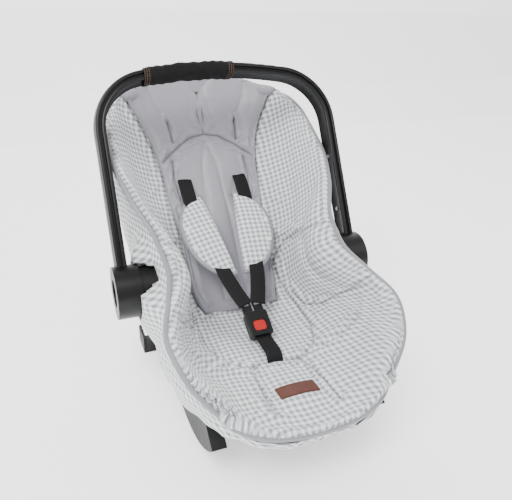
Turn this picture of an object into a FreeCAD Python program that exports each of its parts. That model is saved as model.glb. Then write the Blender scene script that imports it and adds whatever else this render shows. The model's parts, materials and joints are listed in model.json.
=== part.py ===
import FreeCAD, Part
import math
import os
import Sketcher

# Infant car seat with a folding carrying handle, in millimetres.
# The frame: +Z up, the foot end towards -Y, the head end towards +Y, X across.
# The origin is on the floor, in the middle of the seat's length.

V = FreeCAD.Vector
doc = FreeCAD.newDocument("infant_car_seat")
sheet = doc.addObject("Spreadsheet::Sheet", "dims")

DIMENSIONS = {
    # bucket: the rim climbs along a sloping line from the foot end to the head end
    "foot_y": -316.5, "foot_z": 100.0, "slope": 30.3, "bucket_length": 722.0,
    "width_power": 2.6, "depth_power": 2.2, "wall_power": 7.0,
    "shell_wall": 4.0, "layer_gap": 0.3, "foam_wall": 12.0, "cover_depth": 34.0,
    "skirt_wall": 3.4, "skirt_low_z": 83.0, "skirt_rise_y": 49.5,
    "skirt_turn_y": 112.5, "skirt_turn_z": 175.0, "skirt_rise": 47.5, "piping_size": 8.0, "insert_thick": 11.0,
    # harness slots through the bucket
    "slot_y": 185.5, "slot_z": 301.0, "slot_x": 52.0, "slot_wide": 46.0, "slot_high": 9.0,
    "slot_long": 90.0, "slot_tilt": 51.0, "crotch_y": -157.5,
    # rocker base
    "rail_centre": 129.0, "rail_thick": 22.0, "flat_front": -124.5, "flat_rear": 80.5,
    "rear_radius": 130.0, "front_radius": 190.0, "rear_turn": 48.0, "front_turn": 48.0,
    "web_low": 52.0, "web_high": 88.0, "web_front": -112.5, "web_rear": 71.5,
    # belt hooks on the rocker base
    "hook_y": -10.5, "hook_z": 56.0, "hook_long": 44.0, "hook_start": 140.3, "hook_reach": 42.0,
    "hook_rise": 30.0, "hook_thick": 5.0,
    # handle hubs, measured along X from the middle plane
    "hub_y": -14.5, "hub_z": 187.0, "boss_radius": 38.0, "boss_start": 110.0, "boss_end": 182.6,
    "spigot_radius": 20.0, "spigot_end": 187.9, "washer_radius": 26.0, "washer_thick": 2.0,
    "screw_radius": 3.0, "screw_head": 6.0, "screw_head_high": 3.6, "screw_long": 14.0,
    "barrel_radius": 43.0, "barrel_start": 183.2, "barrel_end": 223.0, "web_end": 187.6,
    "cavity_radius": 33.0, "cavity_end": 216.0, "recess_radius": 23.0,
    "gear_radius": 32.4, "gear_root": 28.0, "gear_start": 200.0, "gear_thick": 8.0,
    "gear_teeth": 12.0, "button_radius": 22.4, "button_end": 215.0,
    "spring_radius": 14.0, "spring_wire": 1.4,
    # handle arch, measured from the hub axis in the plane of the handle
    "lean": 30.0, "arm_half_width": 207.5, "arch_height": 360.0,
    "corner_radius": 93.0, "crown_radius": 800.0, "arm_start": 30.0,
    "bar_thick": 20.0, "bar_depth": 38.0, "groove": 3.0, "rail_depth": 31.0,
    "sleeve_half": 79.0, "sleeve_thick": 3.2, "sleeve_centre": -46.0,
    # harness
    "strap_wide": 27.0, "strap_thick": 2.0,
    "pad_long": 178.0, "pad_wide": 66.0, "pad_thick": 12.0, "pad_edge": 22.0,
    "snap_radius": 4.5, "snap_high": 1.6,
    "buckle_wide": 40.0, "buckle_long": 46.0, "buckle_half": 9.0, "buckle_round": 5.0,
    "buckle_y": -81.5, "buckle_z": 121.0, "buckle_tilt": 29.7,
    "red_wide": 21.0, "red_long": 18.0, "red_high": 8.0,
    "tongue_wide": 17.0, "tongue_long": 40.0, "tongue_thick": 2.4,
    "label_wide": 62.0, "label_long": 25.0, "label_thick": 2.0,
}

# bucket stations along the slope: distance, half width at the rim, half width of the outer
# wall lower down, depth below the slope line, rim height above the slope line
STATIONS = [
    (0, 48, 44, 22, 0), (12, 82, 76, 31, -1), (37, 116, 108, 48, 2), (94, 160, 150, 80, 28),
    (155, 175, 166, 122, 33), (217, 158, 170, 163, 21), (288, 143, 172, 199, 7),
    (355, 152, 176, 184, 6), (430, 176, 180, 152, 15), (500, 188, 182, 125, 16),
    (584, 187, 176, 91, 14), (645, 167, 152, 64, 11), (690, 122, 110, 40, 7),
    (712, 84, 76, 29, 5), (722, 50, 44, 24, 5),
]
STATION_NAMES = ("along", "half_width", "belly", "depth", "rim")

for number, (alias, value) in enumerate(DIMENSIONS.items(), start=1):
    sheet.set("A%d" % number, alias)
    sheet.set("B%d" % number, str(value))
    sheet.setAlias("B%d" % number, alias)
for number, station in enumerate(STATIONS, start=1):
    for column, name, value in zip("DEFGH", STATION_NAMES, station):
        sheet.set("%s%d" % (column, number), str(value))
        sheet.setAlias("%s%d" % (column, number), "%s_%d" % (name, number))
doc.recompute()


def size(alias):
    """One number from the sheet."""
    return float(getattr(sheet, alias))


def feature(name, shape, placement=None):
    """A document object that holds a shape worked out from the sheet."""
    item = doc.addObject("Part::Feature", name)
    item.Shape = shape
    if placement is not None:
        item.Placement = placement
    return item


def primitive(kind, name, expressions, placement=None):
    """A Part primitive whose sizes are bound to the sheet."""
    item = doc.addObject("Part::" + kind, name)
    for prop, expression in expressions.items():
        item.setExpression(prop, expression)
    if placement is not None:
        item.Placement = placement
    return item


def cut(name, base, tool):
    item = doc.addObject("Part::Cut", name)
    item.Base, item.Tool = base, tool
    return item


def fuse(name, items):
    item = doc.addObject("Part::MultiFuse", name)
    item.Shapes = items
    return item


# ---------------------------------------------------------------- bucket
# Every layer of the bucket is the space between two hulls. A hull is lofted through
# U-shaped sections at the stations, each drawn in by the same inset.

SLOPE = math.radians(size("slope"))


def sloping(x, along, above):
    """A point given across, along the slope line and above it."""
    return V(x, size("foot_y") + along * math.cos(SLOPE) - above * math.sin(SLOPE),
             size("foot_z") + along * math.sin(SLOPE) + above * math.cos(SLOPE))


def station_values(number):
    return [size("%s_%d" % (name, number)) for name in STATION_NAMES]


def section(along, half_width, belly, depth, rim, rise, boxy):
    """A closed U from rim to rim, with straight walls up by the rise and a flat top.

    The rounded U is a power curve. The boxy one has a high power, and swells from its
    width at the rim to its belly.
    """
    width_power = size("wall_power") if boxy else size("width_power")
    depth_power = size("wall_power") if boxy else size("depth_power")
    points = []
    for step in range(-6, 7):
        turn = math.radians(15.0 * step)
        lean = max(math.cos(turn), 0.0)
        swell = (belly - half_width) * (1 - (1 - lean) ** 3) if boxy else 0.0
        across = math.copysign(abs(math.sin(turn)) ** (2 / width_power), step)
        down = lean ** (2 / depth_power)
        points.append(sloping((half_width + swell) * across, along,
                              rim - (rim + depth) * down))
    curve = Part.BSplineCurve()
    curve.interpolate(points)
    tops = [sloping(side * half_width, along, rim + rise) for side in (1, -1)]
    return Part.Wire([curve.toShape(), Part.makeLine(points[-1], tops[0]),
                      Part.makeLine(tops[0], tops[1]), Part.makeLine(tops[1], points[0])])


def hull(inset, rise, boxy=False):
    """The bucket's solid, drawn in by the inset, its top a rise above the rim."""
    half_length = size("bucket_length") / 2
    wires = []
    for number in range(1, len(STATIONS) + 1):
        along, half_width, belly, depth, rim = station_values(number)
        moved = half_length + (along - half_length) * (1 - inset / half_length)
        shallow = max(depth - inset, 2 - rim)
        wires.append(section(moved, max(half_width - inset, 6), max(belly - inset, 6), shallow,
                             rim, rise, boxy))
    return Part.makeLoft(wires, True, False)


def below_rim(drop):
    """Everything lower than a drop below the rim, as a wide straight-sided block."""
    reach = 260.0
    wires = []
    for number in range(1, len(STATIONS) + 1):
        along, rim = size("along_%d" % number), size("rim_%d" % number)
        corners = [sloping(side * reach, along, above)
                   for side, above in ((-1, rim - drop), (1, rim - drop), (1, -400), (-1, -400))]
        wires.append(Part.makePolygon(corners + corners[:1]))
    block = Part.makeLoft(wires, True, False)
    for number, step in ((1, -40), (len(STATIONS), 40)):
        along, above = size("along_%d" % number), size("rim_%d" % number) - drop
        ends = sorted((along, along + step))
        corners = [sloping(-reach, ends[0], -400), sloping(-reach, ends[1], -400),
                   sloping(-reach, ends[1], above), sloping(-reach, ends[0], above)]
        face = Part.Face(Part.makePolygon(corners + corners[:1]))
        block = block.fuse(face.extrude(V(2 * reach, 0, 0)))
    return block


shell_end = size("shell_wall")
foam_start = shell_end + size("layer_gap")
foam_end = foam_start + size("foam_wall")
cover_start = foam_end + size("layer_gap")
cover_end = size("cover_depth")
open_top = 70.0
cover_rise = 8.0

shell_outer = feature("shell_outer", hull(0, 0.5, True))
shell_inner = feature("shell_inner", hull(shell_end, open_top, True))
foam_outer = feature("foam_outer", hull(foam_start, 0.5, True))
foam_inner = feature("foam_inner", hull(foam_end, open_top))
cover_outer = feature("cover_outer", hull(0, cover_rise, True))
cover_inner = feature("cover_inner", hull(cover_end, open_top))
cover_limit = hull(cover_start, open_top).common(
    hull(shell_end + size("layer_gap"), open_top, True))
cover_core = feature("cover_core", hull(-2, 0.8, True).cut(cover_limit))

slot_turn = FreeCAD.Rotation(V(1, 0, 0), size("slot_tilt"))


def slot_block(name, x, y, z, wide, high, turn):
    """A long box through every layer, for webbing of the given width."""
    box = primitive("Box", name, {"Length": wide, "Width": high, "Height": "dims.slot_long"})
    centre = V(-size("slot_wide") / 2, -size("slot_high") / 2, -size("slot_long") / 2)
    box.Placement = FreeCAD.Placement(V(x, y, z), turn).multiply(
        FreeCAD.Placement(centre, FreeCAD.Rotation()))
    return box


upright = FreeCAD.Rotation()
slots = {}
for layer in ("shell", "foam", "cover", "insert"):
    blocks = [slot_block("%s_slot_%s" % (layer, word), side * size("slot_x"), size("slot_y"),
                         size("slot_z"), "dims.slot_wide", "dims.slot_high", slot_turn)
              for word, side in (("right", 1), ("left", -1))]
    if layer != "insert":
        blocks.append(slot_block(layer + "_slot_crotch", 0, size("crotch_y"), size("foot_z") - 10,
                                 "dims.slot_wide", "dims.slot_high", upright))
    slots[layer] = fuse(layer + "_slots", blocks)

shell_skin = cut("shell_skin", shell_outer, shell_inner)
seat_shell = cut("seat_shell", shell_skin, slots["shell"])
foam_skin = cut("foam_skin", foam_outer, foam_inner)
foam_liner = cut("foam_liner", foam_skin, slots["foam"])
cover_hollow = fuse("cover_hollow", [cover_inner, cover_core, slots["cover"]])
cover_padding = cut("cover_padding", cover_outer, cover_hollow)

# The skirt hangs outside the shell from the piping, and is open round the hub bosses.
skirt_start = -size("layer_gap")
skirt_end = skirt_start - size("skirt_wall")
skirt_ring = feature("skirt_ring", hull(skirt_end, 0.5, True).cut(
    hull(skirt_start, open_top, True)))


def lower_block(drop):
    """Everything under the skirt's edge: level along the seat, then rising to the head."""
    low, rise_y = size("skirt_low_z") - drop, size("skirt_rise_y")
    climb = math.tan(math.radians(size("skirt_rise")))
    far = 500.0
    knee_y, knee_z = size("skirt_turn_y"), size("skirt_turn_z") - drop
    outline = [(-far, -far), (far, -far), (far, knee_z + (far - knee_y) * climb),
               (knee_y, knee_z), (rise_y, low), (-far, low)]
    corners = [V(-far, y, z) for y, z in outline]
    return Part.Face(Part.makePolygon(corners + corners[:1])).extrude(V(2 * far, 0, 0))


skirt_low = feature("skirt_low", lower_block(0))


def hub_place(side, start):
    """A placement on the hub axis whose own Z points outwards on that side."""
    return FreeCAD.Placement(V(side * start, size("hub_y"), size("hub_z")),
                             FreeCAD.Rotation(V(0, 1, 0), 90 * side))


skirt_cuts = [skirt_low]
for word, side in (("right", 1), ("left", -1)):
    skirt_cuts.append(primitive("Cylinder", "skirt_hub_" + word,
                                {"Radius": "dims.boss_radius + 2", "Height": "dims.boss_end"},
                                hub_place(side, 60)))

piping_end = skirt_start - size("piping_size") / 2
piping_ring = feature("piping_ring", hull(piping_end, size("piping_size") - 1, True).cut(
    hull(skirt_start, open_top, True)))
piping_low = feature("piping_low", below_rim(1.2))
cover_piping = cut("cover_piping", piping_ring, piping_low)
skirt_cuts.append(cover_piping)
skirt_cloth = cut("skirt_cloth", skirt_ring, fuse("skirt_cuts", skirt_cuts))


# ---------------------------------------------------------------- back insert
# A quilted panel on the cover, wide at the head and narrow at the seat.

def strip(inset, thick, widths):
    """A band of one layer: at each station it is as wide as given, in percent of the hull."""
    half_length = size("bucket_length") / 2
    wires = []
    for number, share in widths:
        along, half_width, belly, depth, rim = station_values(number)
        sides = []
        for drawn_in in (inset, inset + thick):
            moved = half_length + (along - half_length) * (1 - inset / half_length)
            across_half = max(half_width - drawn_in, 6)
            low = max(depth - drawn_in, 2 - rim)
            limit = math.asin((share / 100) ** (size("width_power") / 2))
            points = []
            for step in range(-5, 6):
                turn = limit * step / 5
                across = math.copysign(abs(math.sin(turn)) ** (2 / size("width_power")), step)
                down = math.cos(turn) ** (2 / size("depth_power"))
                points.append(sloping(across_half * across, moved, rim - (rim + low) * down))
            sides.append(points)
        outer, inner = Part.BSplineCurve(), Part.BSplineCurve()
        outer.interpolate(sides[0])
        inner.interpolate(sides[1][::-1])
        wires.append(Part.Wire([outer.toShape(), Part.makeLine(sides[0][-1], sides[1][-1]),
                                inner.toShape(), Part.makeLine(sides[1][0], sides[0][0])]))
    return Part.makeLoft(wires, True, False)


INSERT_WIDTHS = [(7, 58), (8, 60), (9, 55), (10, 60), (11, 78), (12, 90), (13, 92)]
insert_start = cover_end + 1.2
insert_whole = feature("insert_whole", strip(insert_start, size("insert_thick"), INSERT_WIDTHS))
insert_slotted = cut("insert_slotted", insert_whole, slots["insert"])


# ---------------------------------------------------------------- rocker base
def sketch_on(body, name, role):
    """A sketch on one of the body's own origin planes."""
    plane = [item for item in body.Origin.OriginFeatures if item.Role == role][0]
    sketch = body.newObject("Sketcher::SketchObject", name)
    sketch.AttachmentSupport = [(plane, "")]
    sketch.MapMode = "FlatFace"
    return sketch


def rail_body(word, side):
    """One rocker rail: flat underneath, rising on an arc at each end."""
    body = doc.addObject("PartDesign::Body", "rail_" + word)
    sketch = sketch_on(body, "rail_outline_" + word, "YZ_Plane")
    front, rear = size("flat_front"), size("flat_rear")
    front_radius, rear_radius = size("front_radius"), size("rear_radius")
    front_turn, rear_turn = math.radians(size("front_turn")), math.radians(size("rear_turn"))
    tip = V(front - front_radius * math.sin(front_turn),
            front_radius * (1 - math.cos(front_turn)), 0)
    tail = V(rear + rear_radius * math.sin(rear_turn),
             rear_radius * (1 - math.cos(rear_turn)), 0)
    down = -math.pi / 2
    arcs = (Part.ArcOfCircle(Part.Circle(V(front, front_radius, 0), V(0, 0, 1), front_radius),
                             down - front_turn, down),
            Part.ArcOfCircle(Part.Circle(V(rear, rear_radius, 0), V(0, 0, 1), rear_radius),
                             down, down + rear_turn))
    nose, heel = tip + V(30, 22, 0), tail + V(-16, 46, 0)
    lines = [(V(front, 0, 0), V(rear, 0, 0)), (tail, heel), (heel, nose), (nose, tip)]
    for arc in arcs:
        sketch.addGeometry(arc, False)
    for start, end in lines:
        sketch.addGeometry(Part.LineSegment(start, end), False)
    for first, second in (((0, 2), (2, 1)), ((2, 2), (1, 1)), ((1, 2), (3, 1)),
                          ((3, 2), (4, 1)), ((4, 2), (5, 1)), ((5, 2), (0, 1))):
        sketch.addConstraint(Sketcher.Constraint("Coincident", *first, *second))
    for index, alias in ((0, "front_radius"), (1, "rear_radius")):
        number = sketch.addConstraint(Sketcher.Constraint("Radius", index, size(alias)))
        sketch.setExpression("Constraints[%d]" % number, "dims." + alias)
    doc.recompute()
    pad = body.newObject("PartDesign::Pad", "rail_pad_" + word)
    pad.Profile = sketch
    pad.Midplane = True
    pad.setExpression("Length", "dims.rail_thick")
    body.Placement = FreeCAD.Placement(V(side * size("rail_centre"), 0, 0), FreeCAD.Rotation())
    return body


base_pieces = [rail_body("right", 1), rail_body("left", -1)]
base_web = primitive("Box", "base_web", {
    "Length": "2 * dims.rail_centre", "Width": "dims.web_rear - dims.web_front",
    "Height": "dims.web_high - dims.web_low"},
    FreeCAD.Placement(V(-size("rail_centre"), size("web_front"), size("web_low")),
                      FreeCAD.Rotation()))
base_pieces.append(base_web)
base_room = feature("base_room", hull(skirt_end - size("layer_gap"), open_top, True))
base_core = feature("base_core", hull(-size("layer_gap"), open_top, True))
base_skirt_room = cut("base_skirt_room", base_room, feature("base_skirt_low", lower_block(2)))
base_strap_way = primitive("Box", "base_strap_way", {
    "Length": "dims.slot_wide", "Width": "dims.web_rear - dims.web_front + 20",
    "Height": "dims.web_high - dims.web_low"},
    FreeCAD.Placement(V(-size("slot_wide") / 2, size("web_front") - 10, size("web_low") + 8),
                      FreeCAD.Rotation()))
base_solid = fuse("base_solid", base_pieces)
rocker_base = cut("rocker_base", base_solid, fuse(
    "base_cuts", [base_core, base_skirt_room, base_strap_way]))


# ---------------------------------------------------------------- belt hooks
def belt_hook(word, side):
    """A hook under the shell's side: a shelf with an upturned lip, for the vehicle belt."""
    start, reach, thick = size("hook_start"), size("hook_reach"), size("hook_thick")
    shelf = primitive("Box", "hook_shelf_" + word, {
        "Length": "dims.hook_reach", "Width": "dims.hook_long", "Height": "dims.hook_thick"})
    lip = primitive("Box", "hook_lip_" + word, {
        "Length": "dims.hook_thick", "Width": "dims.hook_long", "Height": "dims.hook_rise"})
    low_x = start if side > 0 else -start - reach
    lip_x = start + reach - thick if side > 0 else -start - reach
    shelf.Placement.Base = V(low_x, size("hook_y"), size("hook_z"))
    lip.Placement.Base = V(lip_x, size("hook_y"), size("hook_z"))
    whole = fuse("hook_whole_" + word, [shelf, lip])
    doc.recompute()
    fillet = doc.addObject("Part::Fillet", "hook_round_" + word)
    fillet.Base = whole
    fillet.Edges = [(number, 2.0, 2.0)
                    for number, edge in enumerate(whole.Shape.Edges, start=1)
                    if abs(edge.tangentAt(edge.FirstParameter).y) > 0.9
                    and edge.CenterOfMass.z > size("hook_z") + size("hook_rise") - 1]
    return cut("belt_guide_" + word, fillet, base_room)


belt_guides = {word: belt_hook(word, side) for word, side in (("right", 1), ("left", -1))}


# ---------------------------------------------------------------- hubs
def round_bar(name, radius, start, end, side, gap=0.0):
    """A cylinder on the hub axis between two distances from the middle plane."""
    bar = primitive("Cylinder", name, {"Radius": "%s + %s" % (radius, gap),
                                       "Height": "%s - (%s)" % (end, start)})
    bar.Placement = FreeCAD.Placement(V(0, size("hub_y"), size("hub_z")),
                                      FreeCAD.Rotation(V(0, 1, 0), 90 * side))
    bar.setExpression("Placement.Base.x", "%d * (%s)" % (side, start))
    return bar


def star(name, outer, root, start, end, side):
    """A toothed disc on the hub axis: straight-flanked teeth between two radii."""
    teeth = int(size("gear_teeth"))
    corners = []
    for tooth in range(teeth):
        for share, radius in ((-0.30, root), (-0.16, outer), (0.16, outer), (0.30, root)):
            turn = 2 * math.pi * (tooth + share) / teeth
            corners.append(V(radius * math.cos(turn), radius * math.sin(turn), 0))
    face = Part.Face(Part.makePolygon(corners + corners[:1]))
    return feature(name, face.extrude(V(0, 0, end - start)), hub_place(side, start))


hub_parts = {}
barrel_pieces = []
barrel_cuts = []
for word, side in (("right", 1), ("left", -1)):
    disc = round_bar("boss_disc_" + word, "dims.boss_radius", "dims.boss_start",
                     "dims.boss_end", side)
    spigot = round_bar("boss_spigot_" + word, "dims.spigot_radius", "dims.boss_end",
                       "dims.spigot_end", side)
    boss_core = feature("boss_core_" + word, hull(-size("layer_gap"), open_top, True))
    boss_bore = round_bar("boss_bore_" + word, "dims.screw_radius", "dims.boss_end - 40",
                          "dims.spigot_end", side, 0.1)
    boss = cut("hub_boss_" + word, fuse("boss_solid_" + word, [disc, spigot]),
               fuse("boss_cuts_" + word, [boss_core, boss_bore]))
    washer = cut("pivot_washer_" + word,
                 round_bar("washer_disc_" + word, "dims.washer_radius", "dims.spigot_end",
                           "dims.spigot_end + dims.washer_thick", side),
                 round_bar("washer_bore_" + word, "dims.screw_radius", "dims.spigot_end",
                           "dims.spigot_end + dims.washer_thick", side, 0.1))
    head_start = "dims.spigot_end + dims.washer_thick"
    head = round_bar("screw_head_" + word, "dims.screw_head", head_start,
                     head_start + " + dims.screw_head_high", side)
    shank = round_bar("screw_shank_" + word, "dims.screw_radius",
                      "dims.spigot_end - dims.screw_long", head_start, side)
    screw = fuse("pivot_screw_" + word, [head, shank])
    gear = star("lock_gear_" + word, size("gear_radius"), size("gear_root"),
                size("gear_start"), size("gear_start") + size("gear_thick"), side)
    cap = round_bar("button_cap_" + word, "dims.button_radius",
                    "dims.gear_start + dims.gear_thick", "dims.button_end", side)
    dish = primitive("Sphere", "button_dish_" + word, {"Radius": "3 * dims.button_radius"})
    dish.Placement = hub_place(side, size("button_end") + 3 * size("button_radius") - 3)
    button = cut("release_button_" + word, cap, dish)
    spring_start = size("spigot_end") + size("washer_thick") + size("spring_wire")
    spring_end = size("gear_start") - size("spring_wire")
    helix = Part.makeHelix((spring_end - spring_start) / 3, spring_end - spring_start,
                           size("spring_radius"))
    ring = Part.Wire(Part.makeCircle(size("spring_wire") / 2, V(size("spring_radius"), 0, 0),
                                     V(0, 1, 0)))
    coil = Part.Wire(helix.Edges).makePipeShell([ring], True, True)
    # The right coil starts at the front of the hub and the left one at its top.
    coil_turn = FreeCAD.Rotation(V(0, 0, 1), 270 if side > 0 else 0)
    spring = feature("hub_spring_" + word, coil, hub_place(side, spring_start).multiply(
        FreeCAD.Placement(V(0, 0, 0), coil_turn)))
    barrel_pieces.append(round_bar("barrel_" + word, "dims.barrel_radius", "dims.barrel_start",
                                   "dims.barrel_end", side))
    barrel_cuts += [
        round_bar("barrel_bore_" + word, "dims.spigot_radius", "dims.barrel_start",
                  "dims.web_end", side, 0.1),
        star("barrel_cavity_" + word, size("cavity_radius"), size("gear_root") + 0.6,
             size("web_end"), size("cavity_end"), side),
        round_bar("barrel_recess_" + word, "dims.recess_radius", "dims.web_end",
                  "dims.barrel_end", side)]
    hub_parts[word] = dict(boss=boss, washer=washer, screw=screw, gear=gear, button=button,
                           spring=spring)


# ---------------------------------------------------------------- handle
# The arch is drawn upright in its own frame and leans back about the hub axis.
HANDLE_PLACE = FreeCAD.Placement(V(0, size("hub_y"), size("hub_z")),
                                 FreeCAD.Rotation(V(1, 0, 0), -size("lean")))


def arch_edges(shift):
    """The arch at a shift outwards: straight arm, corner arc, crown arc, and their mirror."""
    half = size("arm_half_width") + shift
    top = size("arch_height") + shift
    corner, crown = size("corner_radius") + shift, size("crown_radius") + shift
    reach = half - corner
    corner_z = top - crown + math.sqrt((crown - corner) ** 2 - reach ** 2)
    crown_z = top - crown
    turn = math.atan2(corner_z - crown_z, reach)
    join = V(reach + corner * math.cos(turn), 0, corner_z + corner * math.sin(turn))
    bend = V(reach + corner * math.cos(turn / 2), 0, corner_z + corner * math.sin(turn / 2))
    mirror = [V(-point.x, 0, point.z) for point in (join, bend)]
    foot = size("arm_start")
    return [Part.makeLine(V(-half, 0, foot), V(-half, 0, corner_z)),
            Part.Arc(V(-half, 0, corner_z), mirror[1], mirror[0]).toShape(),
            Part.Arc(mirror[0], V(0, 0, top), join).toShape(),
            Part.Arc(join, bend, V(half, 0, corner_z)).toShape(),
            Part.makeLine(V(half, 0, corner_z), V(half, 0, foot))]


def swept(profile, shift=0.0):
    """A closed profile carried along the arch. Profile points are (outwards, forwards)."""
    foot = V(-size("arm_half_width") - shift, 0, size("arm_start"))
    edges = []
    for kind, points in profile:
        places = [V(foot.x - out, -front, foot.z) for out, front in points]
        if kind == "line":
            edges.append(Part.makeLine(*places))
        else:
            edges.append(Part.Arc(*places).toShape())
    path = Part.Wire(arch_edges(shift))
    return path.makePipeShell([Part.Wire(edges)], True, False, 1)


half_bar, half_depth = size("bar_thick") / 2, size("bar_depth") / 2
half_groove, half_rail = size("groove") / 2, size("rail_depth") / 2
edge_round = 4.0
outer_profile = [
    ("arc", ((1.2, half_depth - edge_round), (half_bar / 2, half_depth),
             (half_bar - 2.5, half_depth - edge_round))),
    ("arc", ((half_bar - 2.5, half_depth - edge_round), (half_bar, 0),
             (half_bar - 2.5, edge_round - half_depth))),
    ("arc", ((half_bar - 2.5, edge_round - half_depth), (half_bar / 2, -half_depth),
             (1.2, edge_round - half_depth))),
    ("line", ((1.2, edge_round - half_depth), (1.2, half_depth - edge_round))),
]
inner_profile = [
    ("line", ((1.0, -half_rail + 1), (1.0, half_rail - 1))),
    ("line", ((1.0, half_rail - 1), (-half_groove, half_rail - 1))),
    ("arc", ((-half_groove, half_rail - 1), (-half_bar / 2, half_rail + 1.5),
             (1 - half_bar, half_rail - 1))),
    ("arc", ((1 - half_bar, half_rail - 1), (3.5 - half_bar, 0), (1 - half_bar, 1 - half_rail))),
    ("arc", ((1 - half_bar, 1 - half_rail), (-half_bar / 2, -half_rail - 1.5),
             (-half_groove, 1 - half_rail))),
    ("line", ((-half_groove, 1 - half_rail), (1.0, -half_rail + 1))),
]
sleeve_out = half_bar + size("sleeve_thick")
sleeve_deep = half_depth + size("sleeve_thick")
sleeve_profile = [
    ("arc", ((-half_bar - 1, sleeve_deep - 5), (0, sleeve_deep), (half_bar - 2, sleeve_deep - 4))),
    ("arc", ((half_bar - 2, sleeve_deep - 4), (sleeve_out, 0), (half_bar - 2, 4 - sleeve_deep))),
    ("arc", ((half_bar - 2, 4 - sleeve_deep), (0, -sleeve_deep), (-half_bar - 1, 5 - sleeve_deep))),
    ("arc", ((-half_bar - 1, 5 - sleeve_deep), (-sleeve_out, 0), (-half_bar - 1, sleeve_deep - 5))),
]

outer_sweep = feature("outer_sweep", swept(outer_profile), HANDLE_PLACE)
inner_sweep = feature("inner_sweep", swept(inner_profile), HANDLE_PLACE)
barrel_room = []
for word, side in (("right", 1), ("left", -1)):
    barrel_room.append(round_bar("barrel_room_" + word, "dims.barrel_radius",
                                 "dims.barrel_start - 10", "dims.barrel_end + 5", side, 0.2))
handle_frame = cut("handle_frame", fuse("handle_solid", [outer_sweep] + barrel_pieces),
                   fuse("handle_cuts", barrel_cuts))
handle_inner_rail = cut("handle_inner_rail", inner_sweep, fuse("barrel_rooms", barrel_room))

sleeve_low = size("sleeve_centre") - size("sleeve_half")
sleeve_window = Part.makeBox(2 * size("sleeve_half"), 120, 120,
                             V(sleeve_low, -60, size("arch_height") - 80))
sleeve_tube = swept(sleeve_profile).common(sleeve_window)
sleeve_bar = swept(outer_profile).fuse(swept(inner_profile))
grip_sleeve = feature("grip_sleeve", sleeve_tube.cut(sleeve_bar), HANDLE_PLACE)


# ---------------------------------------------------------------- harness
def ribbon(points, wide, thick):
    """Flat webbing through the points: straight runs, its width along X."""
    corners = []
    for index, point in enumerate(points):
        before = points[max(index - 1, 0)]
        after = points[min(index + 1, len(points) - 1)]
        normals = []
        for start, end in ((before, point), (point, after)):
            run = V(0, end.y - start.y, end.z - start.z)
            if run.Length > 0:
                normals.append(V(0, -run.z, run.y) * (1 / run.Length))
        middle = normals[0] + normals[-1]
        middle = middle * (thick / 2 / (1 + normals[0].dot(normals[-1])))
        across = V(wide / 2, 0, 0)
        corners.append([point - across - middle, point + across - middle,
                        point + across + middle, point - across + middle])
    faces = [Part.Face(Part.makePolygon(end + end[:1])) for end in (corners[0], corners[-1])]
    for low, high in zip(corners, corners[1:]):
        for index in range(4):
            other = (index + 1) % 4
            for three in ((low[index], low[other], high[other]),
                          (low[index], high[other], high[index])):
                faces.append(Part.Face(Part.makePolygon(list(three) + [three[0]])))
    solid = Part.makeSolid(Part.makeShell(faces))
    return solid if solid.Volume > 0 else Part.makeSolid(Part.makeShell(faces).reversed())


STRAP_HIGH, STRAP_LOW = (55, 145.5, 276), (29, -0.5, 175)
STRAP_ROUTE = [(16, 148, 184), (46, 174, 226), (52, 216, 275), (54, 186.5, 300),
               STRAP_HIGH, STRAP_LOW, (14.2, -46.5, 144.2)]
BUCKLE_TURN = FreeCAD.Rotation(V(1, 0, 0), size("buckle_tilt"))
BUCKLE_PLACE = FreeCAD.Placement(V(0, size("buckle_y"), size("buckle_z")), BUCKLE_TURN)

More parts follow.
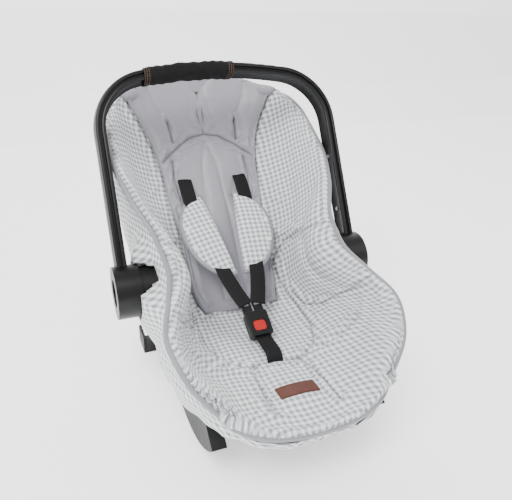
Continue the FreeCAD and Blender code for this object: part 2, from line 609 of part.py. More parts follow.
# Rooms let the webbing, pads, buckle and label lie in the padding without sharing solid.
room_gap = 0.6
room_top = 60.0
cover_rooms = []
cloth_rooms = []
harness = {}
for word, side in (("right", 1), ("left", -1)):
    route = [V(side * x, y, z) for x, y, z in STRAP_ROUTE]
    harness["strap_" + word] = feature("shoulder_strap_" + word, ribbon(
        route, size("strap_wide"), size("strap_thick")))
    cloth_rooms.append(feature("strap_room_" + word, ribbon(
        route, size("strap_wide") + 2 * room_gap, size("strap_thick") + 2 * room_gap)))

    # The pad lies on the straight run: its Y runs down the strap, its Z stands off it.
    high, low = V(side * STRAP_HIGH[0], *STRAP_HIGH[1:]), V(side * STRAP_LOW[0], *STRAP_LOW[1:])
    run = low - high
    run.normalize()
    up = V(1, 0, 0).cross(run) * -1
    up.normalize()
    across = run.cross(up)
    across.normalize()
    turn = FreeCAD.Rotation(across, run, up, "ZXY")
    place = FreeCAD.Placement((high + low) * 0.5, turn)
    outwards = 1 if (turn.multVec(V(1, 0, 0)).x > 0) == (side > 0) else -1
    long_half, edge = size("pad_long") / 2, size("pad_edge")
    bulge = size("pad_wide") - edge
    inner = [V(-outwards * edge, -long_half + 26, 0), V(-outwards * edge, long_half - 26, 0)]
    straight = Part.makeLine(inner[0], inner[1])
    low_round = Part.Arc(inner[1], V(-outwards * (edge - 10), long_half - 3, 0),
                         V(outwards * 8, long_half, 0)).toShape()
    bow = Part.Arc(V(outwards * 8, long_half, 0), V(outwards * bulge, 0, 0),
                   V(outwards * 8, -long_half, 0)).toShape()
    high_round = Part.Arc(V(outwards * 8, -long_half, 0),
                          V(-outwards * (edge - 10), -long_half + 3, 0), inner[0]).toShape()
    face = Part.Face(Part.Wire([straight, low_round, bow, high_round]))
    face.translate(V(0, 0, -size("pad_thick") / 2))
    pad_solid = feature("pad_solid_" + word, face.extrude(V(0, 0, size("pad_thick"))), place)
    channel = feature("pad_channel_" + word, ribbon(
        [high - run * 60, low + run * 60], size("strap_wide") + 1.2, size("strap_thick") + 1.2))
    harness["pad_" + word] = cut("shoulder_pad_" + word, pad_solid, channel)
    pad_low = min(-outwards * (edge + 2), outwards * (bulge + 2))
    cloth_rooms.append(feature("pad_room_" + word, Part.makeBox(
        size("pad_wide") + 4, 2 * long_half + 26, room_top,
        V(pad_low, -long_half - 12, -size("pad_thick") / 2 - room_gap)), place))
    snaps = []
    for along in (-18.0, 24.0):
        ring = Part.makeCylinder(size("snap_radius"), size("snap_high"),
                                 V(outwards * (bulge - 12), along, size("pad_thick") / 2))
        snaps.append(ring)
    harness["snaps_" + word] = feature("pad_snaps_" + word, Part.makeCompound(snaps), place)

    # The tongue enters the buckle's top end; its slot holds the end of the strap.
    wide, length = size("tongue_wide"), size("tongue_long")
    plate = Part.makeBox(wide, length, size("tongue_thick"),
                         V(side * 10 - wide / 2, 7, -size("tongue_thick") / 2))
    window = Part.makeBox(wide - 6, 5, 10, V(side * 10 - wide / 2 + 3, length - 3, -5))
    tongue = feature("tongue_" + word, plate.cut(window), BUCKLE_PLACE)
    harness["tongue_" + word] = tongue

half_wide, half_long = size("buckle_wide") / 2, size("buckle_long") / 2


def casing(name, low, high):
    """Half of the buckle's casing: a rounded box with room for its parts."""
    box = Part.makeBox(2 * half_wide, 2 * half_long, high - low,
                       V(-half_wide, -half_long, low))
    corners = [edge for edge in box.Edges
               if abs(edge.tangentAt(edge.FirstParameter).z) > 0.9]
    box = box.makeFillet(size("buckle_round"), corners)
    face_z = high if high > 0 else low
    rim = [edge for edge in box.Edges if abs(edge.CenterOfMass.z - face_z) < 0.01]
    return box.makeFillet(2.0, rim)


wall = 2.5
inside = Part.makeBox(2 * (half_wide - wall), 2 * (half_long - wall),
                      2 * (size("buckle_half") - wall),
                      V(wall - half_wide, wall - half_long, wall - size("buckle_half")))
tongue_mouth = Part.makeBox(38, 30, size("tongue_thick") + 1,
                            V(-19, 6.5, -size("tongue_thick") / 2 - 0.5))
strap_mouth = Part.makeBox(size("strap_wide") + 2, 20, size("strap_thick") + 1,
                           V(-size("strap_wide") / 2 - 1, -half_long - 4,
                             -size("strap_thick") / 2 - 0.5))
red_half_wide, red_half_long = size("red_wide") / 2, size("red_long") / 2
red_gap = 0.5


def red_block(grow, low, high):
    block = Part.makeBox(2 * (red_half_wide + grow), 2 * (red_half_long + grow), high - low,
                         V(-red_half_wide - grow, -red_half_long - grow - 5, low))
    corners = [edge for edge in block.Edges
               if abs(edge.tangentAt(edge.FirstParameter).z) > 0.9]
    return block.makeFillet(5.0, corners)


front_shell = casing("front", 0.1, size("buckle_half"))
for hole in (inside, tongue_mouth, strap_mouth, red_block(red_gap, 0, 20)):
    front_shell = front_shell.cut(hole)
back_shell = casing("back", -size("buckle_half"), -0.1)
for hole in (inside, tongue_mouth, strap_mouth):
    back_shell = back_shell.cut(hole)
red_top = size("buckle_half") - 0.5
buckle = {
    "front": feature("buckle_front", front_shell, BUCKLE_PLACE),
    "back": feature("buckle_back", back_shell, BUCKLE_PLACE),
    "button": feature("buckle_button", red_block(0, red_top - size("red_high") + 3, red_top),
                      BUCKLE_PLACE),
}
red_low = red_top - size("red_high") + 3
coil_low = wall - size("buckle_half") + 0.8
coil_length = red_low - coil_low - 0.8
coil_ring = Part.Wire(Part.makeCircle(0.5, V(4, 0, 0), V(0, 1, 0)))
coil = Part.Wire(Part.makeHelix(coil_length / 3, coil_length, 4).Edges)
coil_shape = coil.makePipeShell([coil_ring], True, True)
buckle["spring"] = feature("buckle_spring", coil_shape, BUCKLE_PLACE.multiply(
    FreeCAD.Placement(V(0, -5, coil_low), FreeCAD.Rotation())))

crotch_y = size("crotch_y")
crotch_route = [V(0, crotch_y, 68.3), V(0, crotch_y, 106),
                BUCKLE_PLACE.multVec(V(0, -half_long - 12, -3)),
                BUCKLE_PLACE.multVec(V(0, -half_long - 4, 0)),
                BUCKLE_PLACE.multVec(V(0, -half_long + wall + 2, 0))]
crotch_strap = feature("crotch_strap", ribbon(crotch_route, size("strap_wide"),
                                              size("strap_thick")))
cover_rooms.append(feature("crotch_room", ribbon(
    crotch_route, size("strap_wide") + 2 * room_gap, size("strap_thick") + 2 * room_gap)))
cover_rooms.append(feature("buckle_room", Part.makeBox(
    2 * (half_wide + room_gap), 2 * half_long + 50, room_top,
    V(-half_wide - room_gap, -half_long - room_gap, -size("buckle_half") - room_gap)),
    BUCKLE_PLACE))
anchor_plate = Part.makeBox(52, 26, 3, V(-26, crotch_y - 13, 69))
anchor_slot = Part.makeBox(size("strap_wide") + 1, size("strap_thick") + 0.6, 10,
                           V(-(size("strap_wide") + 1) / 2,
                             crotch_y - size("strap_thick") / 2 - 0.3, 64))
crotch_anchor = feature("crotch_anchor", anchor_plate.cut(anchor_slot))

yoke_place = FreeCAD.Placement(V(0, 144.5, 178), FreeCAD.Rotation(V(1, 0, 0), 53))
yoke_plate = Part.makeBox(64, 26, 3, V(-32, -13, -5.5))
yoke_slot = Part.makeBox(40, 6, 20, V(-20, -9, -12))
yoke = feature("harness_yoke", yoke_plate.cut(yoke_slot), yoke_place)

adjuster_route = [V(0, 141, 173), V(0, 115, 137), V(0, 80, 84), V(0, 50, 65), V(0, -132, 64),
                  V(0, -188, 68)]
adjuster_strap = feature("adjuster_strap", ribbon(adjuster_route, 24.0, size("strap_thick")))
adjuster_box = Part.makeBox(44, 30, 16, V(-22, -212, 60))
adjuster_way = Part.makeBox(25, 60, 3.2, V(-12.5, -197, 66))
strap_adjuster = feature("strap_adjuster", adjuster_box.cut(adjuster_way).cut(
    hull(-size("layer_gap") - size("skirt_wall") - 0.6, open_top, True)))

# ---------------------------------------------------------------- label and screws
label_place = FreeCAD.Placement(V(0, -236.5, 111), FreeCAD.Rotation(V(1, 0, 0), -3))
leather_label = primitive("Box", "leather_label", {
    "Length": "dims.label_wide", "Width": "dims.label_long", "Height": "dims.label_thick"})
leather_label.Placement = label_place.multiply(FreeCAD.Placement(
    V(-size("label_wide") / 2, -size("label_long") / 2, 0), FreeCAD.Rotation()))
cover_rooms.append(feature("label_room", Part.makeBox(
    size("label_wide") + 2 * room_gap, size("label_long") + 2 * room_gap, room_top,
    V(-size("label_wide") / 2 - room_gap, -size("label_long") / 2 - room_gap, 0)),
    label_place))

cloth_room = fuse("cloth_room", cloth_rooms)
cover_room = fuse("cover_room", cover_rooms + [cloth_room, seat_shell, foam_liner])
seat_cover = cut("seat_cover", cover_padding, cover_room)
back_insert = cut("back_insert", insert_slotted, cloth_room)
cover_skirt = cut("cover_skirt", skirt_cloth, cloth_room)


def screw_group(name, places, radius, length):
    """Identical pan-head screws, one solid each, heads at the given places."""
    solids = []
    for point, axis in places:
        head = Part.makeCylinder(radius * 1.9, radius, point, axis)
        shank = Part.makeCylinder(radius, length, point, axis * -1)
        solids.append(head.fuse(shank))
    return feature(name, Part.makeCompound(solids))


down = V(0, 0, -1)
base_screw_places = [(V(side * 60, y, size("web_low")), down) for side in (1, -1)
                     for y in (-72.0, 58.0)]
base_screws = screw_group("base_screws", base_screw_places, 2.5, 14)
base_screw_room = screw_group("base_screw_room", base_screw_places, 2.6, 16)
handle_screw_places = []
for side in (1, -1):
    for height in (90.0, 190.0):
        spot = V(side * (size("arm_half_width") - half_bar + 3.2), 0, height)
        handle_screw_places.append((HANDLE_PLACE.multVec(spot), V(-side, 0, 0)))
handle_screws = screw_group("handle_screws", handle_screw_places, 1.8, 10)
handle_screw_room = screw_group("handle_screw_room", handle_screw_places, 1.9, 12)
rocker_base_drilled = cut("rocker_base_drilled", rocker_base, base_screw_room)
rail_drilled = cut("rail_drilled", handle_inner_rail, handle_screw_room)
frame_drilled = cut("frame_drilled", handle_frame, handle_screw_room)

# ---------------------------------------------------------------- labels, checks, files
NODES = {
    "seat_shell": seat_shell, "foam_liner": foam_liner, "seat_cover": seat_cover,
    "cover_skirt": cover_skirt, "cover_piping": cover_piping, "back_insert": back_insert,
    "rocker_base": rocker_base_drilled, "base_screws": base_screws,
    "handle_frame": frame_drilled, "handle_inner_rail": rail_drilled,
    "handle_screws": handle_screws, "grip_sleeve": grip_sleeve,
    "crotch_strap": crotch_strap, "crotch_anchor": crotch_anchor, "harness_yoke": yoke,
    "adjuster_strap": adjuster_strap, "strap_adjuster": strap_adjuster,
    "leather_label": leather_label,
}
for word in ("left", "right"):
    NODES["belt_guide_" + word] = belt_guides[word]
    NODES["hub_boss_" + word] = hub_parts[word]["boss"]
    NODES["pivot_washer_" + word] = hub_parts[word]["washer"]
    NODES["pivot_screw_" + word] = hub_parts[word]["screw"]
    NODES["lock_gear_" + word] = hub_parts[word]["gear"]
    NODES["release_button_" + word] = hub_parts[word]["button"]
    NODES["hub_spring_" + word] = hub_parts[word]["spring"]
    NODES["shoulder_strap_" + word] = harness["strap_" + word]
    NODES["shoulder_pad_" + word] = harness["pad_" + word]
    NODES["pad_snaps_" + word] = harness["snaps_" + word]
    NODES["tongue_" + word] = harness["tongue_" + word]
for name, item in buckle.items():
    NODES["buckle_" + name] = item

doc.recompute()
for item in doc.Objects:
    if "Invalid" in item.State or "Error" in item.State:
        raise RuntimeError("failed object: %s %s" % (item.Name, item.State))
for label, item in NODES.items():
    item.Label = label
    if item.Shape.isNull() or not item.Shape.isValid():
        raise RuntimeError("bad shape: " + label)

os.makedirs("parts", exist_ok=True)
for label, item in NODES.items():
    item.Shape.exportStep("parts/%s.step" % label)
    box = item.Shape.optimalBoundingBox(True, False)
    print("%-22s %2d solids %9.1f cm3  x %7.1f %7.1f  y %7.1f %7.1f  z %7.1f %7.1f" % (
        label, len(item.Shape.Solids), item.Shape.Volume / 1000, box.XMin, box.XMax,
        box.YMin, box.YMax, box.ZMin, box.ZMax))
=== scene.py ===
import bmesh
import bpy
import json
import math
import numpy as np
from mathutils import Matrix, Vector


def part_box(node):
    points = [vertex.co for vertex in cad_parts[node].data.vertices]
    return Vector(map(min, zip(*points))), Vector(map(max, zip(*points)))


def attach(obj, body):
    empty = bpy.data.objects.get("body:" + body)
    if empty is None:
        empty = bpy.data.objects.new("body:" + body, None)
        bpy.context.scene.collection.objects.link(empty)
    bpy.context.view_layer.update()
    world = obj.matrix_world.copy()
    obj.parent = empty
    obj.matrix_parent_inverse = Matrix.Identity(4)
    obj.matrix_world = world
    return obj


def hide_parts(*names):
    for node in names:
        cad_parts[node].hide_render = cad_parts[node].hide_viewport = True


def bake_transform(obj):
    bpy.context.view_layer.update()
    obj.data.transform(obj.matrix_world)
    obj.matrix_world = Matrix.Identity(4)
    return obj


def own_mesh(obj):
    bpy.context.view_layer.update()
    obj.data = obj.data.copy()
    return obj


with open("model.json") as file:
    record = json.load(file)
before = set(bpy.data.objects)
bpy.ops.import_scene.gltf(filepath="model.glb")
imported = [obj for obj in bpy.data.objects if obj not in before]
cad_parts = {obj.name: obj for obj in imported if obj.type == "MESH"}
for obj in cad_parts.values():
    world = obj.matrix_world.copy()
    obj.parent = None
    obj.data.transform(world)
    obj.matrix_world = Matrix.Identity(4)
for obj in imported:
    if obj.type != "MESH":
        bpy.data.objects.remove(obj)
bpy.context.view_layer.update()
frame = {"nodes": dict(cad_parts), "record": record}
nodes = frame["nodes"]
MM = 0.001

# ---------------------------------------------------------------- floor, light and camera
# A plain pale floor that curves up behind the seat, under one large softbox from above and to
# the left, with weaker fill light from the right and the front.


def linear(colour):
    """An sRGB hex colour as linear red, green, blue and alpha."""
    shares = [int(colour[k:k + 2], 16) / 255 for k in (1, 3, 5)]
    return [s / 12.92 if s <= 0.04045 else ((s + 0.055) / 1.055) ** 2.4 for s in shares] + [1.0]


def add(tree, kind, settings=None, links=None):
    """A shader node of a kind, with its values and with links into its sockets."""
    made = tree.nodes.new("ShaderNode" + kind)
    for key, value in (settings or {}).items():
        if isinstance(key, str) and hasattr(made, key):
            setattr(made, key, value)
        else:
            made.inputs[key].default_value = value
    for key, socket in (links or {}).items():
        tree.links.new(socket, made.inputs[key])
    return made


def material(name, colour, roughness, settings=None):
    """A material with one Principled shader; returns it, its node tree and the shader."""
    made = bpy.data.materials.new(name)
    made.use_nodes = True
    tree = made.node_tree
    shader = tree.nodes["Principled BSDF"]
    shader.inputs["Base Color"].default_value = linear(colour)
    shader.inputs["Roughness"].default_value = roughness
    for key, value in (settings or {}).items():
        shader.inputs[key].default_value = value
    return made, tree, shader


floor_paint, tree, shader = material("studio_paper", "#FFFFFF", 0.9, {
    "Emission Color": (1, 1, 1, 1), "Emission Strength": 0.95})
grain = add(tree, "TexNoise", {"Scale": 400.0})
grain_bump = add(tree, "Bump", {"Strength": 0.02, "Distance": 0.0002},
                 {"Height": grain.outputs[0]})
tree.links.new(grain_bump.outputs[0], shader.inputs["Normal"])

floor_depths = [-4.0, 1.6, 2.1, 2.45, 2.6, 2.6]
floor_heights = [0.0, 0.0, 0.12, 0.5, 1.1, 4.0]
floor_points = [(x, y, z - 0.0005) for y, z in zip(floor_depths, floor_heights) for x in (-5.0, 5.0)]
floor_mesh = bpy.data.meshes.new("studio_floor")
floor_mesh.from_pydata(floor_points, [], [(2 * k, 2 * k + 1, 2 * k + 3, 2 * k + 2) for k in range(5)])
floor_mesh.materials.append(floor_paint)
floor = bpy.data.objects.new("studio_floor", floor_mesh)
bpy.context.scene.collection.objects.link(floor)

world = bpy.data.worlds.new("studio")
bpy.context.scene.world = world
world.use_nodes = True
world.node_tree.nodes["Background"].inputs["Color"].default_value = linear("#FFFFFF")
world.node_tree.nodes["Background"].inputs["Strength"].default_value = 0.8

for lamp_name, place, side, watts in (("key", (-1.0, -0.9, 2.1), 1.2, 62.0),
                                      ("fill", (1.6, -0.7, 1.2), 1.4, 12.0),
                                      ("back", (0.3, 1.5, 1.8), 1.2, 14.0)):
    lamp = bpy.data.lights.new(lamp_name, "AREA")
    lamp.size = side
    lamp.energy = watts
    light = bpy.data.objects.new(lamp_name, lamp)
    light.location = place
    light.rotation_euler = (Vector((0, 0, 0.22)) - Vector(place)).to_track_quat("-Z", "Y").to_euler()
    bpy.context.scene.collection.objects.link(light)

# The camera looks down at the seat from in front and to the left, tilted very slightly.
turn, raised, tilt = math.radians(-22.7), math.radians(26.5), math.radians(2.0)
backwards = Vector((math.sin(turn) * math.cos(raised), -math.cos(turn) * math.cos(raised),
                    math.sin(raised)))
level = Vector((math.cos(turn), math.sin(turn), 0))
upwards = backwards.cross(level)
right_of_view = level * math.cos(tilt) + upwards * math.sin(tilt)
up_of_view = upwards * math.cos(tilt) - level * math.sin(tilt)
eye = Vector((0.011, -0.0345, 0.238)) + backwards * 0.889
camera_data = bpy.data.cameras.new("camera")
camera_data.lens = 37.27
camera_data.sensor_width = 36.0
camera = bpy.data.objects.new("camera", camera_data)
camera.matrix_world = Matrix((
    (right_of_view.x, up_of_view.x, backwards.x, eye.x),
    (right_of_view.y, up_of_view.y, backwards.y, eye.y),
    (right_of_view.z, up_of_view.z, backwards.z, eye.z),
    (0, 0, 0, 1)))
bpy.context.scene.collection.objects.link(camera)
bpy.context.scene.camera = camera


# ---------------------------------------------------------------- moulded plastics and small metal
# The shell, rocker base and handle are black polypropylene mouldings with a fine spark-eroded
# texture. The hub buttons are smoother. Screws, washers and springs are zinc-plated steel.
def moulded(name, colour, roughness, grain_mm, depth_mm, settings=None):
    """A moulding: grain of the given size, with slightly uneven roughness over 60 mm."""
    made, tree, shader = material(name, colour, roughness, settings)
    place = add(tree, "TexCoord")
    grain = add(tree, "TexNoise", {"Scale": 1000 / grain_mm, "Detail": 3.0},
                {"Vector": place.outputs["Object"]})
    bump = add(tree, "Bump", {"Strength": 0.35, "Distance": depth_mm * MM},
               {"Height": grain.outputs[0]})
    wear = add(tree, "TexNoise", {"Scale": 1000 / 60}, {"Vector": place.outputs["Object"]})
    spread = add(tree, "MapRange", {3: roughness - 0.05, 4: roughness + 0.07},
                 {0: wear.outputs[0]})
    tree.links.new(bump.outputs[0], shader.inputs["Normal"])
    tree.links.new(spread.outputs[0], shader.inputs["Roughness"])
    return made


finishes = {
    "shell_plastic": moulded("shell_plastic", "#0C0C0D", 0.5, 0.9, 0.12, {"Specular IOR Level": 0.3}),
    "handle_plastic": moulded("handle_plastic", "#0A0A0B", 0.36, 0.8, 0.08, {"Specular IOR Level": 0.35}),
    "button_plastic": moulded("button_plastic", "#0A0A0B", 0.33, 0.7, 0.05, {"Specular IOR Level": 0.35}),
    "buckle_plastic": moulded("buckle_plastic", "#0C0C0D", 0.36, 0.6, 0.05, {"Specular IOR Level": 0.35}),
    "red_plastic": moulded("red_plastic", "#B3160E", 0.34, 0.6, 0.04),
    "gear_nylon": moulded("gear_nylon", "#D9D6CC", 0.5, 0.8, 0.05),
    "zinc_steel": moulded("zinc_steel", "#C3C6CA", 0.32, 0.4, 0.02, {"Metallic": 1.0}),
    "snap_pearl": moulded("snap_pearl", "#EEF1F1", 0.22, 0.5, 0.01, {"Coat Weight": 0.6}),
    "foam": moulded("foam", "#EDEDE8", 0.85, 3.0, 0.4),
}
slot_of = {n["node"]: n["material_slot"] for n in frame["record"]["subparts"]}
for name, item in nodes.items():
    if slot_of[name] in finishes:
        item.data.materials.clear()
        item.data.materials.append(finishes[slot_of[name]])


# ---------------------------------------------------------------- seat cover
# The cover is one sewn piece of cotton gingham over soft wadding, fitted to the bucket. Seams
# part it into two wings beside the back, two bolsters, the seat and a front pad in three lobes.
SHELL_ALONG = [0, 12, 37, 94, 155, 217, 288, 355, 430, 500, 584, 645, 690, 712, 722]
SHELL_COLUMNS = (
    [48, 82, 116, 160, 175, 158, 143, 152, 176, 188, 187, 167, 122, 84, 50],
    [44, 76, 108, 150, 166, 170, 172, 176, 180, 182, 176, 152, 110, 76, 44],
    [22, 31, 48, 80, 122, 163, 199, 184, 152, 125, 91, 64, 40, 29, 24],
    [0, -1, 2, 28, 33, 21, 7, 6, 15, 16, 14, 11, 7, 5, 5])


def cradle(along, angle):
    """The cover's inner surface in mm. Along runs 0 at the head to 1 at the foot, and the angle
    runs from -90 at the left rim through 0 in the middle to 90 at the right rim. Each section
    is a power curve that rises from the spine to the rim as it goes out to the half width. Near
    the head and the foot it rises later, so that the rim turns the corner on one round line."""
    shares = np.array([0, 0.06, 0.15, 0.30, 0.45, 0.58, 0.68, 0.78, 0.87, 0.94, 1.0])
    spine_y = [297.5, 283.5, 255.5, 197.5, 130.5, 65.5, 15.5, -64.5, -154.5, -239.5, -318.5]
    spine_z = [466, 445, 400, 320, 235, 150, 103, 98, 104, 108, 102]
    rim_y = [265.5, 227.5, 180.5, 105.5, 35.5, -24.5, -79.5, -139.5, -199.5, -249.5, -284.5]
    rim_z = [446, 432, 407, 365, 322, 275, 248, 228, 207, 172, 118]
    half = [128, 178, 192, 193, 178, 153, 148, 163, 180, 165, 118]
    values = [smooth(shares, column, along) for column in (spine_y, spine_z, rim_y, rim_z, half)]
    turn = np.radians(angle)
    ends = np.clip(np.maximum(0.1 - along, along - 0.88) / 0.11, 0, 1)
    rise = 1 - np.abs(np.cos(turn)) ** (0.91 + 0.7 * ends ** 2 * (3 - 2 * ends))
    return np.stack([np.sign(turn) * np.abs(np.sin(turn)) ** (2 / 2.6) * values[4],
                     values[0] + (values[2] - values[0]) * rise,
                     values[1] + (values[3] - values[1]) * rise], -1)


def shell_half(points):
    """The half width of the shell's outer surface at the points' heights, and the points'
    heights below its rim, in mm. Its section is a boxy power curve that swells downwards, and
    where it swells it is also waisted, most of all 42 mm under the rim."""
    slope = math.radians(30.3)
    y, z = points[..., 1] + 316.5, points[..., 2] - 100
    along = y * math.cos(slope) + z * math.sin(slope)
    above = z * math.cos(slope) - y * math.sin(slope)
    w, b, d, r = [smooth(SHELL_ALONG, column, along) for column in SHELL_COLUMNS]
    lean = np.clip((r - above) / (r + d), 0, 0.999) ** (7 / 2)
    swollen = w + (b - w) * (1 - (1 - lean) ** 3)
    waist = smooth([0, 17, 42, 70, 96, 125], [0, 0.7, 1, 0.78, 0.39, 0.04], r - above)
    swollen -= 0.85 * np.maximum(b - w, 0) * waist
    return (1 - lean ** 2) ** (1 / 7) * swollen, r - above


def smooth(at, values, wanted):
    """A smooth line through the values: cubic pieces whose slope at each point is the harmonic
    mean of the slopes beside it, or level where they point opposite ways."""
    at, values = np.asarray(at, float), np.asarray(values, float)
    step = np.diff(values) / np.diff(at)
    slope = np.concatenate([step[:1], np.zeros(len(at) - 2), step[-1:]])
    same = step[:-1] * step[1:] > 0
    slope[1:-1][same] = 2 * step[:-1][same] * step[1:][same] / (step[:-1] + step[1:])[same]
    wanted = np.clip(wanted, at[0], at[-1])
    k = np.clip(np.searchsorted(at, wanted, side="right") - 1, 0, len(at) - 2)
    wide = (at[1:] - at[:-1])[k]
    s = (wanted - at[k]) / wide
    return (values[k] * (1 + 2 * s) * (1 - s) ** 2 + slope[k] * wide * s * (1 - s) ** 2
            + values[k + 1] * s ** 2 * (3 - 2 * s) + slope[k + 1] * wide * s ** 2 * (s - 1))


def grid_normals(points):
    """Unit normals of a grid of points, from its two differences."""
    normal = np.cross(np.gradient(points, axis=0), np.gradient(points, axis=1))
    return normal / np.maximum(np.linalg.norm(normal, axis=-1, keepdims=True), 1e-9)


def seam_distance(points, seams):
    """For each point, the distance in mm to the nearest of the seams, which are polylines."""
    nearest = np.full(points.shape[:-1], 1e9)
    for seam in seams:
        for start, end in zip(seam[:-1], seam[1:]):
            run = end - start
            share = np.clip(((points - start) @ run) / max(run @ run, 1e-9), 0, 1)
            gap = np.linalg.norm(points - start - share[..., None] * run, axis=-1)
            nearest = np.minimum(nearest, gap)
    return nearest


def ripples(points, size, seed):
    """Smooth unevenness between -1 and 1: a sum of eight waves of about one size, in mm, whose
    directions and phases are drawn with a seed."""
    draw = np.random.default_rng(seed)
    total = np.zeros(points.shape[:-1])
    for _ in range(8):
        heading = draw.normal(size=3)
        heading *= 2 * math.pi / (size * draw.uniform(0.7, 1.5) * np.linalg.norm(heading))
        total += np.sin(points @ heading + draw.uniform(0, 2 * math.pi))
    return total / 4


def grid_faces(rows, columns, start=0, around=False):
    """Quads over a grid of points numbered row by row, joined up across the last column."""
    r, c = np.meshgrid(np.arange(rows - 1), np.arange(columns if around else columns - 1),
                       indexing="ij")
    after = (c + 1) % columns
    return start + np.stack([r * columns + c, r * columns + after, (r + 1) * columns + after,
                             (r + 1) * columns + c], -1).reshape(-1, 4)


def weave_lengths(points):
    """Cloth coordinates in mm: the length run across from the middle column, and along from the
    first row, so that a woven pattern keeps its size."""
    across = np.cumsum(np.linalg.norm(np.diff(points, axis=1, prepend=points[:, :1]), axis=-1), 1)
    across -= across[:, points.shape[1] // 2][:, None]
    along = np.cumsum(np.linalg.norm(np.diff(points, axis=0, prepend=points[:1]), axis=-1), 0)
    return np.stack([across, along, np.zeros_like(along)], -1)


def piece(name, points, faces, finish, weave=None, subdivide=0, seam=None):
    """A mesh object in the frame from points in mm, with its faces turned outwards. Weave holds
    its cloth coordinates and seam its distance from the nearest seam, both in mm."""
    mesh = bpy.data.meshes.new(name)
    mesh.from_pydata((points.reshape(-1, 3) * MM).tolist(), [], faces.tolist())
    distance = np.full(len(mesh.vertices), 99.0) if seam is None else seam.reshape(-1)
    mesh.attributes.new("seam", "FLOAT", "POINT").data.foreach_set(
        "value", distance.astype(np.float32))
    if weave is not None:
        mesh.attributes.new("weave", "FLOAT_VECTOR", "POINT").data.foreach_set(
            "vector", weave.reshape(-1).astype(np.float32))
    shaped = bmesh.new()
    shaped.from_mesh(mesh)
    bmesh.ops.recalc_face_normals(shaped, faces=shaped.faces)
    shaped.to_mesh(mesh)
    shaped.free()
    mesh.polygons.foreach_set("use_smooth", [True] * len(mesh.polygons))
    mesh.materials.append(finish)
    made = bpy.data.objects.new(name, mesh)
    bpy.context.scene.collection.objects.link(made)
    if subdivide:
        finer = made.modifiers.new("finer", "SUBSURF")
        finer.levels = finer.render_levels = subdivide
    return made


def slab(front, back):
    """Points and faces of a closed pad between two grids of the same shape."""
    rows, columns = front.shape[:2]
    count = rows * columns
    index = np.arange(count).reshape(rows, columns)
    ring = np.concatenate([index[0, :-1], index[:-1, -1], index[-1, :0:-1], index[:0:-1, 0]])
    walls = np.stack([ring, np.roll(ring, -1), np.roll(ring, -1) + count, ring + count], -1)
    faces = np.concatenate([grid_faces(rows, columns), grid_faces(rows, columns, count), walls])
    return np.concatenate([front.reshape(-1, 3), back.reshape(-1, 3)]), faces


def settle(points, faces, held, pressure, slack, cap):
    """Cloth over wadding: the grid is blown up by a pressure in 20 frames while the held points
    stay. Slack is the share by which the cloth is larger than its place. Returns the points,
    none moved further than the cap in mm."""
    mesh = bpy.data.meshes.new("settling")
    mesh.from_pydata((points.reshape(-1, 3) * MM * 10).tolist(), [], faces.tolist())
    cloth = bpy.data.objects.new("settling", mesh)
    bpy.context.scene.collection.objects.link(cloth)
    group = cloth.vertex_groups.new(name="held")
    group.add([int(k) for k in np.flatnonzero(held.reshape(-1))], 1.0, "REPLACE")
    modifier = cloth.modifiers.new("cloth", "CLOTH")
    rules = modifier.settings
    rules.vertex_group_mass = "held"
    rules.quality = 4
    rules.mass = 0.15
    rules.tension_stiffness = rules.compression_stiffness = 12
    rules.bending_stiffness = 0.3
    rules.use_pressure = True
    rules.uniform_pressure_force = pressure
    rules.shrink_min = -slack
    rules.effector_weights.gravity = 0
    modifier.point_cache.frame_start, modifier.point_cache.frame_end = 1, 20
    for number in range(1, 21):
        bpy.context.scene.frame_set(number)
    shown = cloth.evaluated_get(bpy.context.evaluated_depsgraph_get())
    settled = np.zeros(len(mesh.vertices) * 3, np.float32)
    shown.data.vertices.foreach_get("co", settled)
    moved = settled.reshape(points.shape) / MM / 10 - points
    far = np.linalg.norm(moved, axis=-1, keepdims=True)
    print("settled: mean move %.2f mm, most %.2f mm" % (far.mean(), far.max()))
    bpy.data.objects.remove(cloth)
    bpy.context.scene.frame_set(1)
    return points + moved * np.minimum(1, cap / np.maximum(far, 1e-6))


def painted_seam_shade(tree, colour):
    """The colour with painted shade: darkened by half where the cloth turns into a seam's fold, over 3 mm,
    standing in for the fold's shadow.
    """
    seam = add(tree, "Attribute", {"attribute_name": "seam"})
    depth = add(tree, "MapRange", {"interpolation_type": "SMOOTHSTEP", 1: 0.8, 2: 3.0, 3: 0.5,
                                   4: 1.0}, {0: seam.outputs["Fac"]})
    shaded = add(tree, "Mix", {"data_type": "RGBA", "blend_type": "MULTIPLY", 0: 1.0},
                 {6: colour})
    tree.links.new(depth.outputs[0], shaded.inputs[7])
    return shaded.outputs[2]


